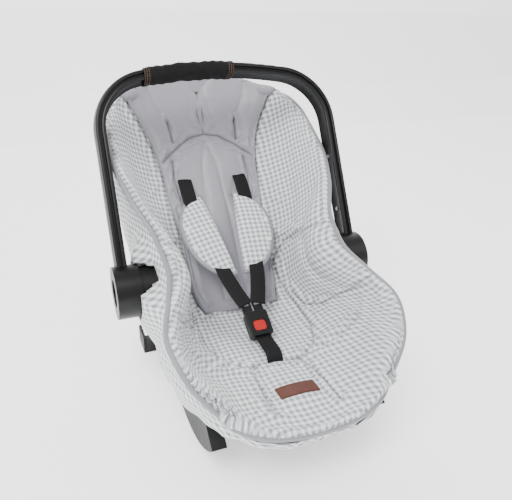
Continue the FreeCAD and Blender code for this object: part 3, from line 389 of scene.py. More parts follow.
def gingham(name, turned=0.0):
    """Cotton gingham: white and grey threads in bands 4.8 mm wide, crossing at right angles, so
    that where both are grey the cloth is darkest. Threads are 0.35 mm."""
    made, tree, shader = material(name, "#F2F3F3", 0.85, {"Sheen Weight": 0.25})
    cloth = add(tree, "Attribute", {"attribute_name": "weave"})
    aligned = add(tree, "VectorRotate", {"rotation_type": "Z_AXIS", "Angle": math.radians(turned)},
                  {"Vector": cloth.outputs["Vector"]})
    wobble = add(tree, "TexNoise", {"Scale": 0.03}, {"Vector": aligned.outputs[0]})
    drift = add(tree, "VectorMath", {"operation": "SCALE", "Scale": 2.2},
                {0: wobble.outputs["Color"]})
    placed = add(tree, "VectorMath", {"operation": "ADD"},
                 {0: aligned.outputs[0], 1: drift.outputs[0]})
    axes = add(tree, "SeparateXYZ", links={0: placed.outputs[0]})
    bands = []
    for axis in (0, 1):
        swing = add(tree, "Math", {"operation": "MULTIPLY", 1: 2 * math.pi / 9.6},
                    {0: axes.outputs[axis]})
        wave = add(tree, "Math", {"operation": "SINE"}, {0: swing.outputs[0]})
        bands.append(add(tree, "MapRange", {1: -0.22, 2: 0.22}, {0: wave.outputs[0]}))
    total = add(tree, "Math", {"operation": "ADD"},
                {0: bands[0].outputs[0], 1: bands[1].outputs[0]})
    share = add(tree, "Math", {"operation": "MULTIPLY", 1: 0.5}, {0: total.outputs[0]})
    colours = add(tree, "ValToRGB", links={0: share.outputs[0]})
    for stop, colour in ((0.0, "#F1F2F3"), (1.0, "#8F9498")):
        mark = colours.color_ramp.elements[int(stop)]
        mark.position, mark.color = stop, linear(colour)
    middle = colours.color_ramp.elements.new(0.5)
    middle.color = linear("#C9CCCF")
    # The pattern's colour is darkened along the seams: painted shade of the seam folds.
    tree.links.new(painted_seam_shade(tree, colours.outputs[0]), shader.inputs["Base Color"])
    threads = add(tree, "TexVoronoi", {"Scale": 1 / 0.7}, {"Vector": cloth.outputs["Vector"]})
    crumple = add(tree, "TexNoise", {"Scale": 1 / 14, "Detail": 3.0, "Roughness": 0.6},
                  {"Vector": cloth.outputs["Vector"]})
    thread_bump = add(tree, "Bump", {"Strength": 0.25, "Distance": 0.15 * MM},
                      {"Height": threads.outputs[0]})
    crumple_bump = add(tree, "Bump", {"Strength": 0.5, "Distance": 2.0 * MM},
                       {"Height": crumple.outputs[0], "Normal": thread_bump.outputs[0]})
    tree.links.new(crumple_bump.outputs[0], shader.inputs["Normal"])
    return made


cover_cloth = gingham("gingham_cover")


def mirrored(*lines):
    """Seams given as (along, angle) pairs on the right side, and the same on the left, in mm."""
    made = []
    for line in lines:
        fine = np.linspace(0, len(line) - 1, 6 * len(line))
        pairs = np.array([[np.interp(fine, range(len(line)), [p[k] for p in line])]
                          for k in (0, 1)])[:, 0]
        made += [cradle(pairs[0], pairs[1]), cradle(pairs[0], -pairs[1])]
    return made


cover_seams = mirrored(
    [(0.605, 24), (0.565, 30), (0.545, 40), (0.552, 54), (0.573, 70), (0.60, 88)],
    [(0.605, 28), (0.66, 31), (0.73, 31), (0.80, 28), (0.85, 20), (0.872, 9)],
    [(0.872, 9), (0.866, 24), (0.862, 38), (0.855, 55)],
    [(0.872, 9), (0.875, 0)],
    [(0.688, 35), (0.753, 36), (0.775, 46), (0.785, 66), (0.80, 88)],
    [(0.875, 8), (0.92, 11), (0.965, 14)])
insert_edge = [(0.0, 70), (0.05, 63), (0.105, 44), (0.17, 33), (0.25, 26), (0.343, 23), (0.427, 23),
               (0.503, 22.5), (0.557, 24.5), (0.625, 26), (0.70, 21.5)]
insert_seams = mirrored(insert_edge)


def insert_reach(along):
    """Half of the insert's width as an angle, at a place along the cover."""
    return smooth([p[0] for p in insert_edge], [p[1] for p in insert_edge], along)


def nearest_rim(points):
    """For each point, the nearest of the points round the rim."""
    line, turn = np.linspace(0, 1, 120), np.linspace(-90, 90, 60)
    rim = np.concatenate([cradle(line, np.full(120, 90.0)), cradle(line, np.full(120, -90.0)),
                          cradle(np.zeros(60), turn), cradle(np.ones(60), turn)])
    best = np.full(points.shape[:-1], 1e9)
    found = np.zeros(points.shape)
    for spot in rim:
        gap = np.linalg.norm(points - spot, axis=-1)
        found[gap < best] = spot
        best = np.minimum(best, gap)
    return found


bucket_up = np.array([0, -0.505, 0.863])

cover_along, cover_angle = np.meshgrid(np.linspace(0, 1, 236), np.linspace(-90, 90, 185),
                                       indexing="ij")
cover_base = cradle(cover_along, cover_angle)
cover_out = grid_normals(cover_base)
if cover_out[118, 92, 2] < 0:
    cover_out = -cover_out
cover_weave = weave_lengths(cover_base)
to_seam = seam_distance(cover_base, cover_seams)
to_insert = seam_distance(cover_base, insert_seams)
to_rim = np.minimum.reduce([90 - np.abs(cover_angle), 300 * cover_along, 300 * (1 - cover_along)])
puff = 15 * (1 - np.exp(-np.minimum(to_seam, to_insert) / 9)) - 9
puff += 1.4 * ripples(cover_base, 55, 3)
pucker = np.exp(-to_seam / 18) * ripples(cover_base, 15, 5) * 1.2
under_insert = (np.abs(cover_angle) < insert_reach(cover_along) - 1.5) & (cover_along < 0.69)
puff[under_insert] = -9
side_wall = np.clip((np.abs(cover_angle) - 28) / 30, 0, 1)
rim_gap = np.linalg.norm(cover_base - nearest_rim(cover_base), axis=-1)
roll = (1 - np.exp(-rim_gap / 9))
narrow = np.exp(-((cover_along - 0.64) / 0.13) ** 2)
wall_in = (19 + 9 * narrow) * side_wall * roll
crest = (14 * (1 - np.exp(-rim_gap / 4)) + 2.2) * np.exp(-rim_gap / 40)
cover_front = (cover_base + cover_out * ((puff + pucker) * roll + wall_in)[..., None]
               + bucket_up * crest[..., None])
cover_back = (cover_base + cover_out * (wall_in - 11 * roll)[..., None]
              + bucket_up * (crest - 5 * roll)[..., None])
held = (np.minimum(to_seam, to_insert) < 3.5) | (to_rim < 1) | under_insert
cover_front = settle(cover_front, grid_faces(*cover_front.shape[:2]), held, 1.5, 0.03, 9.0)


def inside_shell(points, wadding):
    """The points, drawn in where they would come closer to the shell than the wadding."""
    half, below = shell_half(points)
    margin = (3.5 + wadding) * np.clip((below + 7) / 9, 0, 1)
    over = np.maximum(np.abs(points[..., 0]) - (half - margin), 0) * (below > -7)
    over *= np.clip((rim_gap - 4) / 10, 0, 1)
    drawn = points.copy()
    drawn[..., 0] -= np.sign(points[..., 0]) * over
    return drawn


cover_front, cover_back = inside_shell(cover_front, 7.0), inside_shell(cover_back, 2.0)
cover_back[to_rim < 0.5] -= bucket_up * 3
cover_points, cover_faces = slab(cover_front, cover_back)
# The seam distances drive the cloth's painted shade along the seam folds.
cover = piece("cover", cover_points, cover_faces, cover_cloth,
              np.concatenate([cover_weave, cover_weave]).reshape(-1, 3),
              seam=np.concatenate([np.minimum(to_seam, to_insert)] * 2))
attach(cover, "seat")
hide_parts("seat_cover", "foam_liner")


# ---------------------------------------------------------------- back insert
# A satin panel with thin wadding, sewn on over the back of the cover from the head rim down
# into the seat's crease, and quilted with a few deep lines that pucker the satin.
def satin(name, colour):
    """Satin: smooth with a soft sheen, fine yarns of 0.5 mm and broad soft creases."""
    made, tree, shader = material(name, colour, 0.44, {"Sheen Weight": 0.2, "Sheen Roughness": 0.4})
    plain = add(tree, "RGB")
    plain.outputs[0].default_value = linear(colour)
    # The satin's colour is darkened along its seams and quilting lines: painted shade of the folds.
    tree.links.new(painted_seam_shade(tree, plain.outputs[0]), shader.inputs["Base Color"])
    cloth = add(tree, "Attribute", {"attribute_name": "weave"})
    yarns = add(tree, "TexWave", {"Scale": 0.65, "Distortion": 0.4},
                {"Vector": cloth.outputs["Vector"]})
    creases = add(tree, "TexNoise", {"Scale": 1 / 22, "Detail": 2.0},
                  {"Vector": cloth.outputs["Vector"]})
    yarn_bump = add(tree, "Bump", {"Strength": 0.12, "Distance": 0.1 * MM},
                    {"Height": yarns.outputs[0]})
    crease_bump = add(tree, "Bump", {"Strength": 0.5, "Distance": 2.4 * MM},
                      {"Height": creases.outputs[0], "Normal": yarn_bump.outputs[0]})
    tree.links.new(crease_bump.outputs[0], shader.inputs["Normal"])
    return made


insert_satin = satin("satin_insert", "#98969E")
quilt_seams = mirrored(
    [(0.08, 0), (0.15, 0.5), (0.214, 0)],
    [(0.214, 0), (0.222, 5), (0.25, 12), (0.29, 22)],
    [(0.17, 15), (0.20, 14.5), (0.235, 14)],
    [(0.29, 16), (0.345, 17), (0.40, 16)])
soft_folds = mirrored(
    [(0.03, 30), (0.10, 23), (0.17, 15)],
    [(0.02, 7), (0.08, 0)],
    [(0.24, 0), (0.31, 2), (0.41, 3), (0.52, 4), (0.66, 5)])
insert_along, insert_share = np.meshgrid(np.linspace(0.0, 0.70, 220), np.linspace(-1, 1, 131),
                                         indexing="ij")
insert_half = insert_reach(insert_along)
insert_base = cradle(insert_along, insert_share * insert_half)
to_quilt = seam_distance(insert_base, quilt_seams)
to_soft = seam_distance(insert_base, soft_folds)
insert_out = grid_normals(insert_base)
if insert_out[110, 65, 2] < 0:
    insert_out = -insert_out
insert_gap = np.linalg.norm(insert_base - nearest_rim(insert_base), axis=-1)
insert_roll = 1 - np.exp(-insert_gap / 9)
insert_wall = np.clip((np.abs(insert_share * insert_half) - 28) / 30, 0, 1)
insert_crest = (14 * (1 - np.exp(-insert_gap / 4)) + 2.2) * np.exp(-insert_gap / 40)
insert_base = (insert_base + insert_out * (21 * insert_wall * insert_roll)[..., None]
               + bucket_up * insert_crest[..., None])
to_edge = np.minimum((1 - np.abs(insert_share)) * 70, 500 * (0.702 - insert_along))
insert_lift = 15 * (1 - np.exp(-to_quilt / 8)) * np.clip(to_edge / 14, 0, 1) ** 0.5 + 0.5
insert_lift += 1.9 * ripples(insert_base, 24, 11) * np.exp(-to_quilt / 22)
insert_lift -= 4.5 * np.exp(-to_soft / 5) * np.clip(to_edge / 14, 0, 1)
insert_front = insert_base + insert_out * (insert_lift * np.clip(insert_roll * 2, 0, 1))[..., None]
held = (to_quilt < 2.5) | (to_edge < 2)
insert_front = settle(insert_front, grid_faces(*insert_front.shape[:2]), held, 0.7, 0.04, 6.0)
# The straps and the pads' upper ends press the wadding down, also where the pads slide up.
pressed = sum(np.exp(-(np.linalg.norm(insert_base - np.array([side * 55, 152, 279]), axis=-1)
                       / 34) ** 2) for side in (1, -1))
lift_now = ((insert_front - insert_base) * insert_out).sum(-1)
insert_front -= insert_out * np.minimum(12 * pressed, np.maximum(lift_now - 1, 0))[..., None]
insert_points, insert_faces = slab(insert_front, insert_base - insert_out * 4)
insert_weave = weave_lengths(insert_base)
# The quilting lines' distances drive the satin's painted shade along them.
insert = piece("insert", insert_points, insert_faces, insert_satin,
               np.concatenate([insert_weave, insert_weave]).reshape(-1, 3),
               seam=np.concatenate([to_quilt, to_quilt]))
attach(insert, "seat")
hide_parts("back_insert")


# ---------------------------------------------------------------- piping
# Grey satin bias tape over a soft cord, sewn all round the rim between the cover and the skirt.
def tube(path, wide, thick, up, name, finish, closed=True, sides=12):
    """A flattened tube along a path: an ellipse square to the path, its height along up."""
    path, up = np.asarray(path, float), np.asarray(up, float)
    if closed:
        run = np.roll(path, -1, 0) - np.roll(path, 1, 0)
    else:
        run = np.gradient(path, axis=0)
    run /= np.linalg.norm(run, axis=1, keepdims=True)
    side = np.cross(run, up)
    side /= np.linalg.norm(side, axis=1, keepdims=True)
    high = np.cross(side, run)
    turn = np.linspace(0, 2 * math.pi, sides, endpoint=False)
    points = (path[:, None] + side[:, None] * (np.cos(turn) * wide / 2)[None, :, None]
              + high[:, None] * (np.sin(turn) * thick / 2)[None, :, None])
    length = np.cumsum(np.linalg.norm(np.diff(path, axis=0, prepend=path[:1]), axis=1))
    weave = np.stack(np.broadcast_arrays(turn[None, :] * wide / 2, length[:, None], 0.0), -1)
    rows = len(path)
    faces = grid_faces(rows, sides, around=True)
    if closed:
        last, first = (rows - 1) * sides + np.arange(sides), np.arange(sides)
        faces = np.concatenate([faces, np.stack([last, np.roll(last, -1), np.roll(first, -1),
                                                 first], -1)])
        return piece(name, points, faces, finish, weave)
    rims = np.stack([points[0], points[-1]]).mean(1)
    points = np.concatenate([points.reshape(-1, 3), rims])
    weave = np.concatenate([weave.reshape(-1, 3), np.zeros((2, 3))])
    ring, after = np.arange(sides), (np.arange(sides) + 1) % sides
    faces = [list(f) for f in faces]
    faces += [[rows * sides, b, a] for a, b in zip(ring, after)]
    faces += [[rows * sides + 1, a, b] for a, b in zip(ring + (rows - 1) * sides,
                                                       after + (rows - 1) * sides)]
    return piece(name, points, np.array(faces, dtype=object), finish, weave)


piping_satin = satin("satin_piping", "#8C8C92")
side_run = np.linspace(0, 1, 160)
end_run = np.linspace(90, -90, 60)[1:-1]
rim_loop = np.concatenate([
    cradle(side_run[::-1], np.full(160, 90.0)), cradle(np.zeros(58), end_run),
    cradle(side_run, np.full(160, -90.0)), cradle(np.ones(58), -end_run)])
for _ in range(6):
    rim_loop = (np.roll(rim_loop, 1, 0) + 2 * rim_loop + np.roll(rim_loop, -1, 0)) / 4
rim_up = np.broadcast_to([0, -0.35, 0.94], rim_loop.shape)
rim_run = np.roll(rim_loop, -1, 0) - np.roll(rim_loop, 1, 0)
rim_out = np.cross(rim_run, rim_up)
rim_out /= np.linalg.norm(rim_out, axis=1, keepdims=True)
piping_path = rim_loop + rim_out * 0.8 + rim_up * 2.0
piping = tube(piping_path, 8.5, 8.0, rim_up, "piping", piping_satin)
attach(piping, "seat")
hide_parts("cover_piping")


# ---------------------------------------------------------------- skirt
# The cover's outside: gingham gathered from the piping down over the shell, with elastic in its
# lower edge, which is turned a little way under the shell.
def bucket_wall(along, angle, out):
    """The shell's outer surface in mm, drawn out by a distance. Along is in mm from the foot up
    the slope. Each section is a boxy power curve that swells below the rim."""
    w, b, d, r = [smooth(SHELL_ALONG, column, along) for column in SHELL_COLUMNS]
    turn, slope = np.radians(angle), math.radians(30.3)
    lean = np.abs(np.cos(turn))
    x = np.sign(turn) * np.abs(np.sin(turn)) ** (2 / 7) * (
        w + out + (b - w) * (1 - (1 - lean) ** 3))
    above = r - (r + d + out) * lean ** (2 / 7)
    along = 361 + (along - 361) * (1 + out / 361)
    return np.stack([x, -316.5 + along * math.cos(slope) - above * math.sin(slope),
                     100 + along * math.sin(slope) + above * math.cos(slope)], -1)


skirt_cloth = gingham("gingham_skirt", 38.0)
# The rows run up the slope, and at either end round to the middle of the shell's flat end.
closing = np.linspace(0, 1, 26)
skirt_rows = np.concatenate([np.zeros(25), np.linspace(0, 722, 300), np.full(25, 722.0)])
skirt_share = np.concatenate([closing[:-1], np.ones(300), closing[-2::-1]])
skirt_turns = np.linspace(90, 0, 181)
wall = bucket_wall(*np.meshgrid(skirt_rows, skirt_turns, indexing="ij"), 4.0)
edge_z = np.interp(wall[..., 1], [-320, -240, -180, 49.5, 112.5, 330],
                   [80, 79, 73, 72, 175, 412])
open_under = np.interp(skirt_rows, [0, 14, 40, 560, 600, 722], [0, 12, 28, 28, 0, 0])
ends = []
for row in range(len(skirt_rows)):
    under = np.flatnonzero((wall[row, :, 2] < edge_z[row]) | (skirt_turns < open_under[row]))
    ends.append(skirt_turns[under[0]] if len(under) else 0.0)
ends = np.array(ends)
for _ in range(8):
    ends[1:-1] = (ends[:-2] + 2 * ends[1:-1] + ends[2:]) / 4
skirt_along, skirt_down = np.meshgrid(skirt_rows, np.linspace(0, 1, 44), indexing="ij")
fold_run = skirt_along + 50 * (np.sign(skirt_along - 361) * (1 - skirt_share[:, None]))
skirt_halves = []
for side in (1, -1):
    skirt_angle = 90 - (90 - ends[:, None]) * skirt_down
    base = bucket_wall(skirt_along, np.maximum(skirt_angle, 0.0), 4.0)
    run = np.cumsum(np.linalg.norm(np.diff(base, axis=1, prepend=base[:, :1]), axis=-1), 1)
    even = np.stack([np.interp(skirt_down[0], run[k] / max(run[k, -1], 1e-9), skirt_angle[k])
                     for k in range(len(skirt_rows))])
    base = bucket_wall(skirt_along, np.maximum(even, 0.0), 4.0) * np.array([side, 1, 1])
    base[..., 0] *= skirt_share[:, None]
    drop = np.cumsum(np.linalg.norm(np.diff(base, axis=1, prepend=base[:, :1]), axis=-1), 1)
    outward = grid_normals(base)
    outward *= np.sign((outward[..., 0] * side).sum())
    folds = np.sin(fold_run / 5.1 + 3.1 * np.sin(fold_run / 27.0 + side)
                   + 1.6 * np.sin(skirt_down * 5 + fold_run / 44.0))
    gather = 1.5 * folds * (0.3 + 0.7 * skirt_down) + 2.3 * ripples(base, 60, 21 + side)
    gather *= np.clip(skirt_down * 8, 0, 1) * np.clip(3.4 - 3 * skirt_down, 0.4, 1)
    bulge = 2.2 * np.sin(math.pi * skirt_down)
    base = base + outward * (gather + bulge + 0.6)[..., None]
    hub_gap = np.hypot(base[..., 1] + 14.5, base[..., 2] - 187)
    stand_off = np.exp(-(np.maximum(hub_gap - 50, 0) / 34) ** 2) * np.clip(hub_gap - 45, 0, 1)
    stand_off *= np.clip(skirt_down * 11, 0, 1)
    base[..., 0] += side * np.maximum(188.5 - np.abs(base[..., 0]), 0) * stand_off
    skirt_halves.append((base, outward, drop))
skirt_points, skirt_faces, skirt_weave = [], [], []
for number, (base, outward, drop) in enumerate(skirt_halves):
    half_points, half_faces = slab(base, base - outward * 1.2)
    skirt_faces.append(half_faces + number * len(half_points))
    skirt_points.append(half_points)
    weave = np.stack([fold_run, -drop, np.zeros_like(drop)], -1)
    skirt_weave.append(np.concatenate([weave, weave]).reshape(-1, 3))
skirt = piece("skirt", np.concatenate(skirt_points), np.concatenate(skirt_faces), skirt_cloth,
              np.concatenate(skirt_weave))
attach(skirt, "seat")
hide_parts("cover_skirt")
# The cut is a strip sewn to the piping all round: as long as the rim, and as wide at each place
# as the cloth's drop there before its folds.
skirt_long, skirt_wide, skirt_cut = 0.0, 0.0, 0.0
for base, outward, drop in skirt_halves:
    steps = np.linalg.norm(np.diff(base[:, 0], axis=0), axis=1) * MM
    drops = drop[:, -1] * MM
    skirt_long += steps.sum()
    skirt_wide = max(skirt_wide, drops.max())
    skirt_cut += (steps * (drops[1:] + drops[:-1]) / 2).sum()
print("skirt cut", skirt_long, skirt_wide, skirt_cut)


# ---------------------------------------------------------------- harness straps
# Black polyester webbing, 27 mm wide: two shoulder straps that come out of slots in the back
# and end in the tongues, and a short crotch strap that holds the buckle.
def webbing(name):
    """Webbing: nine lengthwise ribs across 27 mm and weft picks of 1.1 mm."""
    made, tree, shader = material(name, "#0D0D0F", 0.66, {"Specular IOR Level": 0.25})
    cloth = add(tree, "Attribute", {"attribute_name": "weave"})
    ribs = add(tree, "TexWave", {"bands_direction": "X", "Scale": 0.052},
               {"Vector": cloth.outputs["Vector"]})
    picks = add(tree, "TexWave", {"bands_direction": "Y", "Scale": 0.28},
                {"Vector": cloth.outputs["Vector"]})
    rib_bump = add(tree, "Bump", {"Strength": 0.5, "Distance": 0.35 * MM},
                   {"Height": ribs.outputs[0]})
    pick_bump = add(tree, "Bump", {"Strength": 0.4, "Distance": 0.2 * MM},
                    {"Height": picks.outputs[0], "Normal": rib_bump.outputs[0]})
    tree.links.new(pick_bump.outputs[0], shader.inputs["Normal"])
    return made


webbing_black = webbing("webbing")


def strap(name, route, wide, thick, across=None):
    """Flat webbing with rounded edges along a smooth route through the points."""
    route = np.asarray(route, float)
    reach = np.concatenate([[0], np.cumsum(np.linalg.norm(np.diff(route, axis=0), axis=1))])
    at = np.linspace(0, reach[-1], max(int(reach[-1] / 3), 8))
    path = np.stack([smooth(reach, route[:, k], at) for k in range(3)], -1)
    run = np.gradient(path, axis=0)
    run /= np.linalg.norm(run, axis=1, keepdims=True)
    side = np.broadcast_to([1.0, 0, 0] if across is None else across, path.shape)
    side = side - run * (side * run).sum(1, keepdims=True)
    side /= np.linalg.norm(side, axis=1, keepdims=True)
    high = np.cross(side, run)
    turn = np.linspace(0, 2 * math.pi, 20, endpoint=False)
    flat = np.sign(np.cos(turn)) * np.abs(np.cos(turn)) ** 0.3 * wide / 2
    tall = np.sign(np.sin(turn)) * np.abs(np.sin(turn)) ** 0.6 * thick / 2
    points = path[:, None] + side[:, None] * flat[None, :, None] + high[:, None] * tall[None, :, None]
    weave = np.stack(np.broadcast_arrays(flat[None, :], at[:, None], 0.0), -1).reshape(-1, 3)
    rows = len(path)
    faces = [list(f) for f in grid_faces(rows, 20, around=True)]
    faces += [list(range(19, -1, -1)), list(range((rows - 1) * 20, rows * 20))]
    return piece(name, points.reshape(-1, 3), np.array(faces, dtype=object), webbing_black, weave)


for word, side in (("right", 1), ("left", -1)):
    shoulder = strap("strap_" + word, [
        (side * 52, 216, 275), (side * 53, 200, 297), (side * 54, 186, 302), (side * 55, 168, 294),
        (side * 55, 146, 277.5), (side * 42, 74, 227), (side * 29, 0, 176.5),
        (side * 20, -28, 157.5), (side * 11, -50, 143)], 27.0, 2.2)
    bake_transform(shoulder)
    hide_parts("shoulder_strap_" + word)
crotch = strap("strap_crotch", [(0, -157.5, 68.5), (0, -158, 92), (0, -154, 106), (0, -140, 112),
                                (0, -118, 111.5), (0, -98, 112)], 27.0, 2.2)
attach(crotch, "seat")
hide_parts("crotch_strap")
adjuster = strap("strap_adjuster_web", [
    (0, 141, 173), (0, 115, 137), (0, 80, 84), (0, 50, 65), (0, -132, 64), (0, -188, 68)], 24.0, 1.6)
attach(adjuster, "seat")
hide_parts("adjuster_strap")

# ---------------------------------------------------------------- shoulder pads
# Each pad is a D-shaped cushion of gingham bound with grey bias tape. It folds round the strap
# and closes on its outer side with two pearl ring snaps.
pad_cloth = gingham("gingham_pad", 4.0)
for word, side in (("right", 1), ("left", -1)):
    high_end, low_end = np.array([side * 55, 145.5, 276]), np.array([side * 29, -0.5, 175])
    run = (low_end - high_end) / np.linalg.norm(low_end - high_end)
    up = np.cross(run, [1.0, 0, 0])
    up *= np.sign(up[2]) / np.linalg.norm(up)
    out = np.cross(up, run)
    out *= np.sign(out[0]) * side
    middle = (high_end + low_end) / 2
    turn = np.linspace(-math.pi / 2, math.pi / 2, 68)
    fold = np.linspace(1, -1, 30)[1:-1]
    outline_x = np.concatenate([64 * np.cos(turn) ** 0.92 - 22, -22 - 2 * (1 - fold ** 2)])
    outline_y = np.concatenate([86 * np.sin(turn), 86 * fold])
    shares = np.linspace(0.0, 1.0, 15)[1:]
    ring_x, ring_y = 6 + shares[:, None] * (outline_x - 6), shares[:, None] * outline_y
    dome = 6.8 * (1 - shares[:, None] ** 3.2) ** 0.5 + 0.6
    bow = -0.0006 * ring_y ** 2 + 0 * ring_x
    local = [np.stack([ring_x, ring_y, bow + sign * dome + 1.5 * ripples(
        np.stack([ring_x, ring_y, 0 * ring_x], -1), 40, 31 + side) * (1 - shares[:, None])], -1)
        for sign in (1, -1)]
    caps = [np.array([[6, 0, 7.4]]), np.array([[6, 0, -7.4]])]
    flat_points = np.concatenate([caps[0], local[0].reshape(-1, 3), caps[1],
                                  local[1].reshape(-1, 3)])
    per_side = 1 + 14 * 96
    fan = np.arange(96)
    faces = []
    for start in (0, per_side):
        faces += [[start, start + 1 + a, start + 1 + (a + 1) % 96] for a in fan]
        faces += [list(f) for f in grid_faces(14, 96, start + 1, True)]
    last = 1 + 13 * 96
    faces += [[last + a, last + (a + 1) % 96, per_side + last + (a + 1) % 96, per_side + last + a]
              for a in fan]
    world_points = (middle + flat_points[:, :1] * out + flat_points[:, 1:2] * run
                    + (flat_points[:, 2:] + 0.8) * up)
    pad = piece("pad_" + word, world_points, np.array(faces, dtype=object), pad_cloth,
                np.stack([flat_points[:, 0] * side, flat_points[:, 1], 0 * flat_points[:, 0]], -1), 1)
    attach(pad, "pad_" + word)
    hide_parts("shoulder_pad_" + word)
    arc_x, arc_y = outline_x[:68, None] - 1.5, outline_y[:68, None]
    edge_path = middle + arc_x * out + arc_y * run + (0.8 - 0.0006 * arc_y ** 2) * up
    binding = tube(edge_path, 9.0, 7.0, np.broadcast_to(up, edge_path.shape), "pad_binding_" + word,
                   piping_satin, closed=False)
    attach(binding, "pad_" + word)

# ---------------------------------------------------------------- leather label
# A brown leather patch sewn flat on the middle of the front pad, without any marking.
leather, tree, shader = material("leather", "#6B4234", 0.5, {"Specular IOR Level": 0.35})
place = add(tree, "TexCoord")
pores = add(tree, "TexVoronoi", {"Scale": 1000 / 1.1}, {"Vector": place.outputs["Object"]})
mottle = add(tree, "TexNoise", {"Scale": 1000 / 9, "Detail": 4.0}, {"Vector": place.outputs["Object"]})
tan = add(tree, "ValToRGB", links={0: mottle.outputs[0]})
tan.color_ramp.elements[0].color, tan.color_ramp.elements[1].color = linear("#4A281E"), linear("#66392B")
leather_bump = add(tree, "Bump", {"Strength": 0.4, "Distance": 0.15 * MM}, {"Height": pores.outputs[0]})
tree.links.new(tan.outputs[0], shader.inputs["Base Color"])
tree.links.new(leather_bump.outputs[0], shader.inputs["Normal"])
label_rows, label_columns = np.meshgrid(np.linspace(-12.5, 12.5, 14), np.linspace(-31, 31, 30),
                                        indexing="ij")
under = cover_front.reshape(-1, 3)
under = under[(np.abs(under[:, 0]) < 36) & (np.abs(under[:, 1] + 236.5) < 18)]


def bowl(x, y):
    """The terms of a quadratic surface over x and y."""
    return np.stack([np.ones_like(x), x, y, x * x, y * y], -1)


fitted = np.linalg.lstsq(bowl(under[:, 0], under[:, 1] + 236.5), under[:, 2], rcond=None)[0]
proud = (under[:, 2] - bowl(under[:, 0], under[:, 1] + 236.5) @ fitted).max()
label_top = np.stack([label_columns, -236.5 + label_rows,
                      bowl(label_columns, label_rows) @ fitted + proud + 0.6], -1)
label_points, label_faces = slab(label_top + [0, 0, 1.2], label_top - [0, 0, 1.2])
label = piece("label", label_points, label_faces, leather)
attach(label, "seat")
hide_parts("leather_label")

# ---------------------------------------------------------------- grip sleeve
# A sleeve of black canvas wrapped round the top of the handle, left of the middle, wrinkled
# by the grip and double-stitched near both ends.
canvas, tree, shader = material("canvas", "#0E0E0F", 0.85, {"Specular IOR Level": 0.25})
cloth = add(tree, "Attribute", {"attribute_name": "weave"})
warp = add(tree, "TexWave", {"bands_direction": "X", "Scale": 0.3}, {"Vector": cloth.outputs["Vector"]})
weft = add(tree, "TexWave", {"bands_direction": "Y", "Scale": 0.3}, {"Vector": cloth.outputs["Vector"]})
woven = add(tree, "Math", {"operation": "MAXIMUM"}, {0: warp.outputs[0], 1: weft.outputs[0]})
woven_bump = add(tree, "Bump", {"Strength": 0.5, "Distance": 0.3 * MM}, {"Height": woven.outputs[0]})
tree.links.new(woven_bump.outputs[0], shader.inputs["Normal"])
# Two rows of brown thread, 5 and 9 mm from each end, in stitches of 3.2 mm.
spot = add(tree, "SeparateXYZ", links={0: cloth.outputs["Vector"]})
centred = add(tree, "Math", {"operation": "ADD", 1: 46.0}, {0: spot.outputs[0]})
off_middle = add(tree, "Math", {"operation": "ABSOLUTE"}, {0: centred.outputs[0]})
off_rows = add(tree, "Math", {"operation": "PINGPONG", 1: 2.0},
               {0: add(tree, "Math", {"operation": "SUBTRACT", 1: 68.0},
                       {0: off_middle.outputs[0]}).outputs[0]})
thread = add(tree, "Math", {"operation": "GREATER_THAN", 1: 1.5}, {0: off_rows.outputs[0]})
near_end = add(tree, "Math", {"operation": "GREATER_THAN", 1: 68.0}, {0: off_middle.outputs[0]})
stepped = add(tree, "Math", {"operation": "MULTIPLY", 1: 2 * math.pi / 3.2}, {0: spot.outputs[1]})
dashes = add(tree, "Math", {"operation": "GREATER_THAN", 1: -0.4},
             {0: add(tree, "Math", {"operation": "SINE"}, {0: stepped.outputs[0]}).outputs[0]})
on_row = add(tree, "Math", {"operation": "MULTIPLY"}, {0: thread.outputs[0], 1: near_end.outputs[0]})
stitch = add(tree, "Math", {"operation": "MULTIPLY"}, {0: on_row.outputs[0], 1: dashes.outputs[0]})
threaded = add(tree, "Mix", {"data_type": "RGBA", 6: linear("#0E0E0F"), 7: linear("#6E5544")},
               {0: stitch.outputs[0]})
tree.links.new(threaded.outputs[2], shader.inputs["Base Color"])
lean = math.radians(30.0)
sleeve_x, sleeve_turn = np.meshgrid(np.linspace(-125, 33, 90), np.linspace(0, 2 * math.pi, 64, endpoint=False),
                                    indexing="ij")
wrinkle = (0.6 * np.sin(sleeve_x / 3.1 + 4 * np.sin(sleeve_turn) + 1.9 * np.sin(sleeve_x / 17))
           + 0.5 * np.sin(sleeve_turn * 3 + sleeve_x / 9))
wrinkle *= np.clip((79 - np.abs(sleeve_x + 46)) / 14, 0, 1)
power = 2 / 2.6
ring_out = np.sign(np.cos(sleeve_turn)) * np.abs(np.cos(sleeve_turn)) ** power * (13.0 + wrinkle)
ring_front = np.sign(np.sin(sleeve_turn)) * np.abs(np.sin(sleeve_turn)) ** power * (21.6 + wrinkle)
crown = 360 - 800 + np.sqrt(800.0 ** 2 - sleeve_x ** 2)
height = crown + ring_out
sleeve_points = np.stack([sleeve_x, -14.5 - ring_front * math.cos(lean) + height * math.sin(lean),
                          187 + height * math.cos(lean) + ring_front * math.sin(lean)], -1)
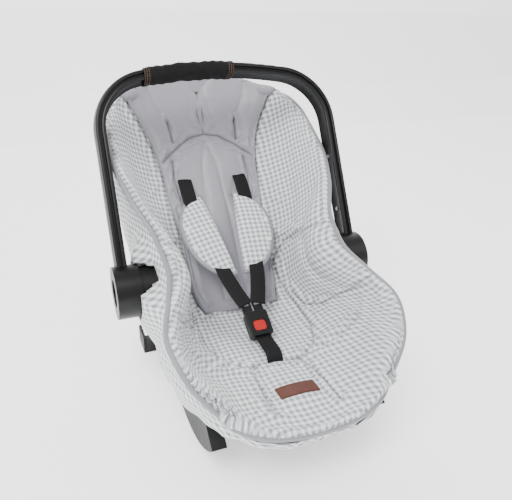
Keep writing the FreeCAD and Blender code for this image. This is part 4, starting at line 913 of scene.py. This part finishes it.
centre_line = np.stack([sleeve_x, -14.5 + crown * math.sin(lean), 187 + crown * math.cos(lean)], -1)
inner_points = centre_line + (sleeve_points - centre_line) * 0.94
count = sleeve_points.shape[0] * 64
sleeve_faces = np.concatenate([grid_faces(90, 64, around=True), grid_faces(90, 64, count, True)] + [
    np.stack([start + np.arange(64), start + (np.arange(64) + 1) % 64,
              count + start + (np.arange(64) + 1) % 64, count + start + np.arange(64)], -1)
    for start in (0, 89 * 64)])
sleeve_weave = np.stack([sleeve_x, sleeve_turn * 17.5, 0 * sleeve_x], -1).reshape(-1, 3)
sleeve = piece("sleeve", np.concatenate([sleeve_points.reshape(-1, 3), inner_points.reshape(-1, 3)]),
               sleeve_faces, canvas, np.concatenate([sleeve_weave, sleeve_weave]), 1)
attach(sleeve, "handle")
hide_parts("grip_sleeve")

# ---------------------------------------------------------------- springs
# Coils of zinc-plated steel wire, out of sight behind the hub buttons and under the buckle's red
# button. The hub springs are attached to the release buttons' bodies, the red button's to the seat.
def coil(name, node, axis, radius, length, wire):
    """Three turns of wire about an axis through the middle of the CAD spring's box, in mm."""
    low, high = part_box(node)
    middle = (np.array(low) + np.array(high)) / 2 / MM
    first = np.cross(axis, [0.0, 0.6, 0.8])
    first /= np.linalg.norm(first)
    second = np.cross(axis, first)
    turn = np.linspace(0, 6 * math.pi, 61)
    path = (middle + np.outer(np.linspace(-0.5, 0.5, 61) * (length - wire), axis)
            + radius * (np.outer(np.cos(turn), first) + np.outer(np.sin(turn), second)))
    made = tube(path, wire, wire, np.broadcast_to(axis, path.shape), name,
                finishes["zinc_steel"], closed=False, sides=10)
    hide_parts(node)
    return made, middle


for word, side in (("right", 1), ("left", -1)):
    spring, middle = coil("button_spring_" + word, "hub_spring_" + word, np.array([1.0, 0, 0]),
                          14.0, 8.7, 1.4)
    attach(spring, "release_" + word)
    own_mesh(spring)
pressing = np.array([0, 0.495459, -0.868632])
spring, middle = coil("red_button_spring", "buckle_spring", pressing, 4.0, 4.86, 1.0)
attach(spring, "seat")
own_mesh(spring)
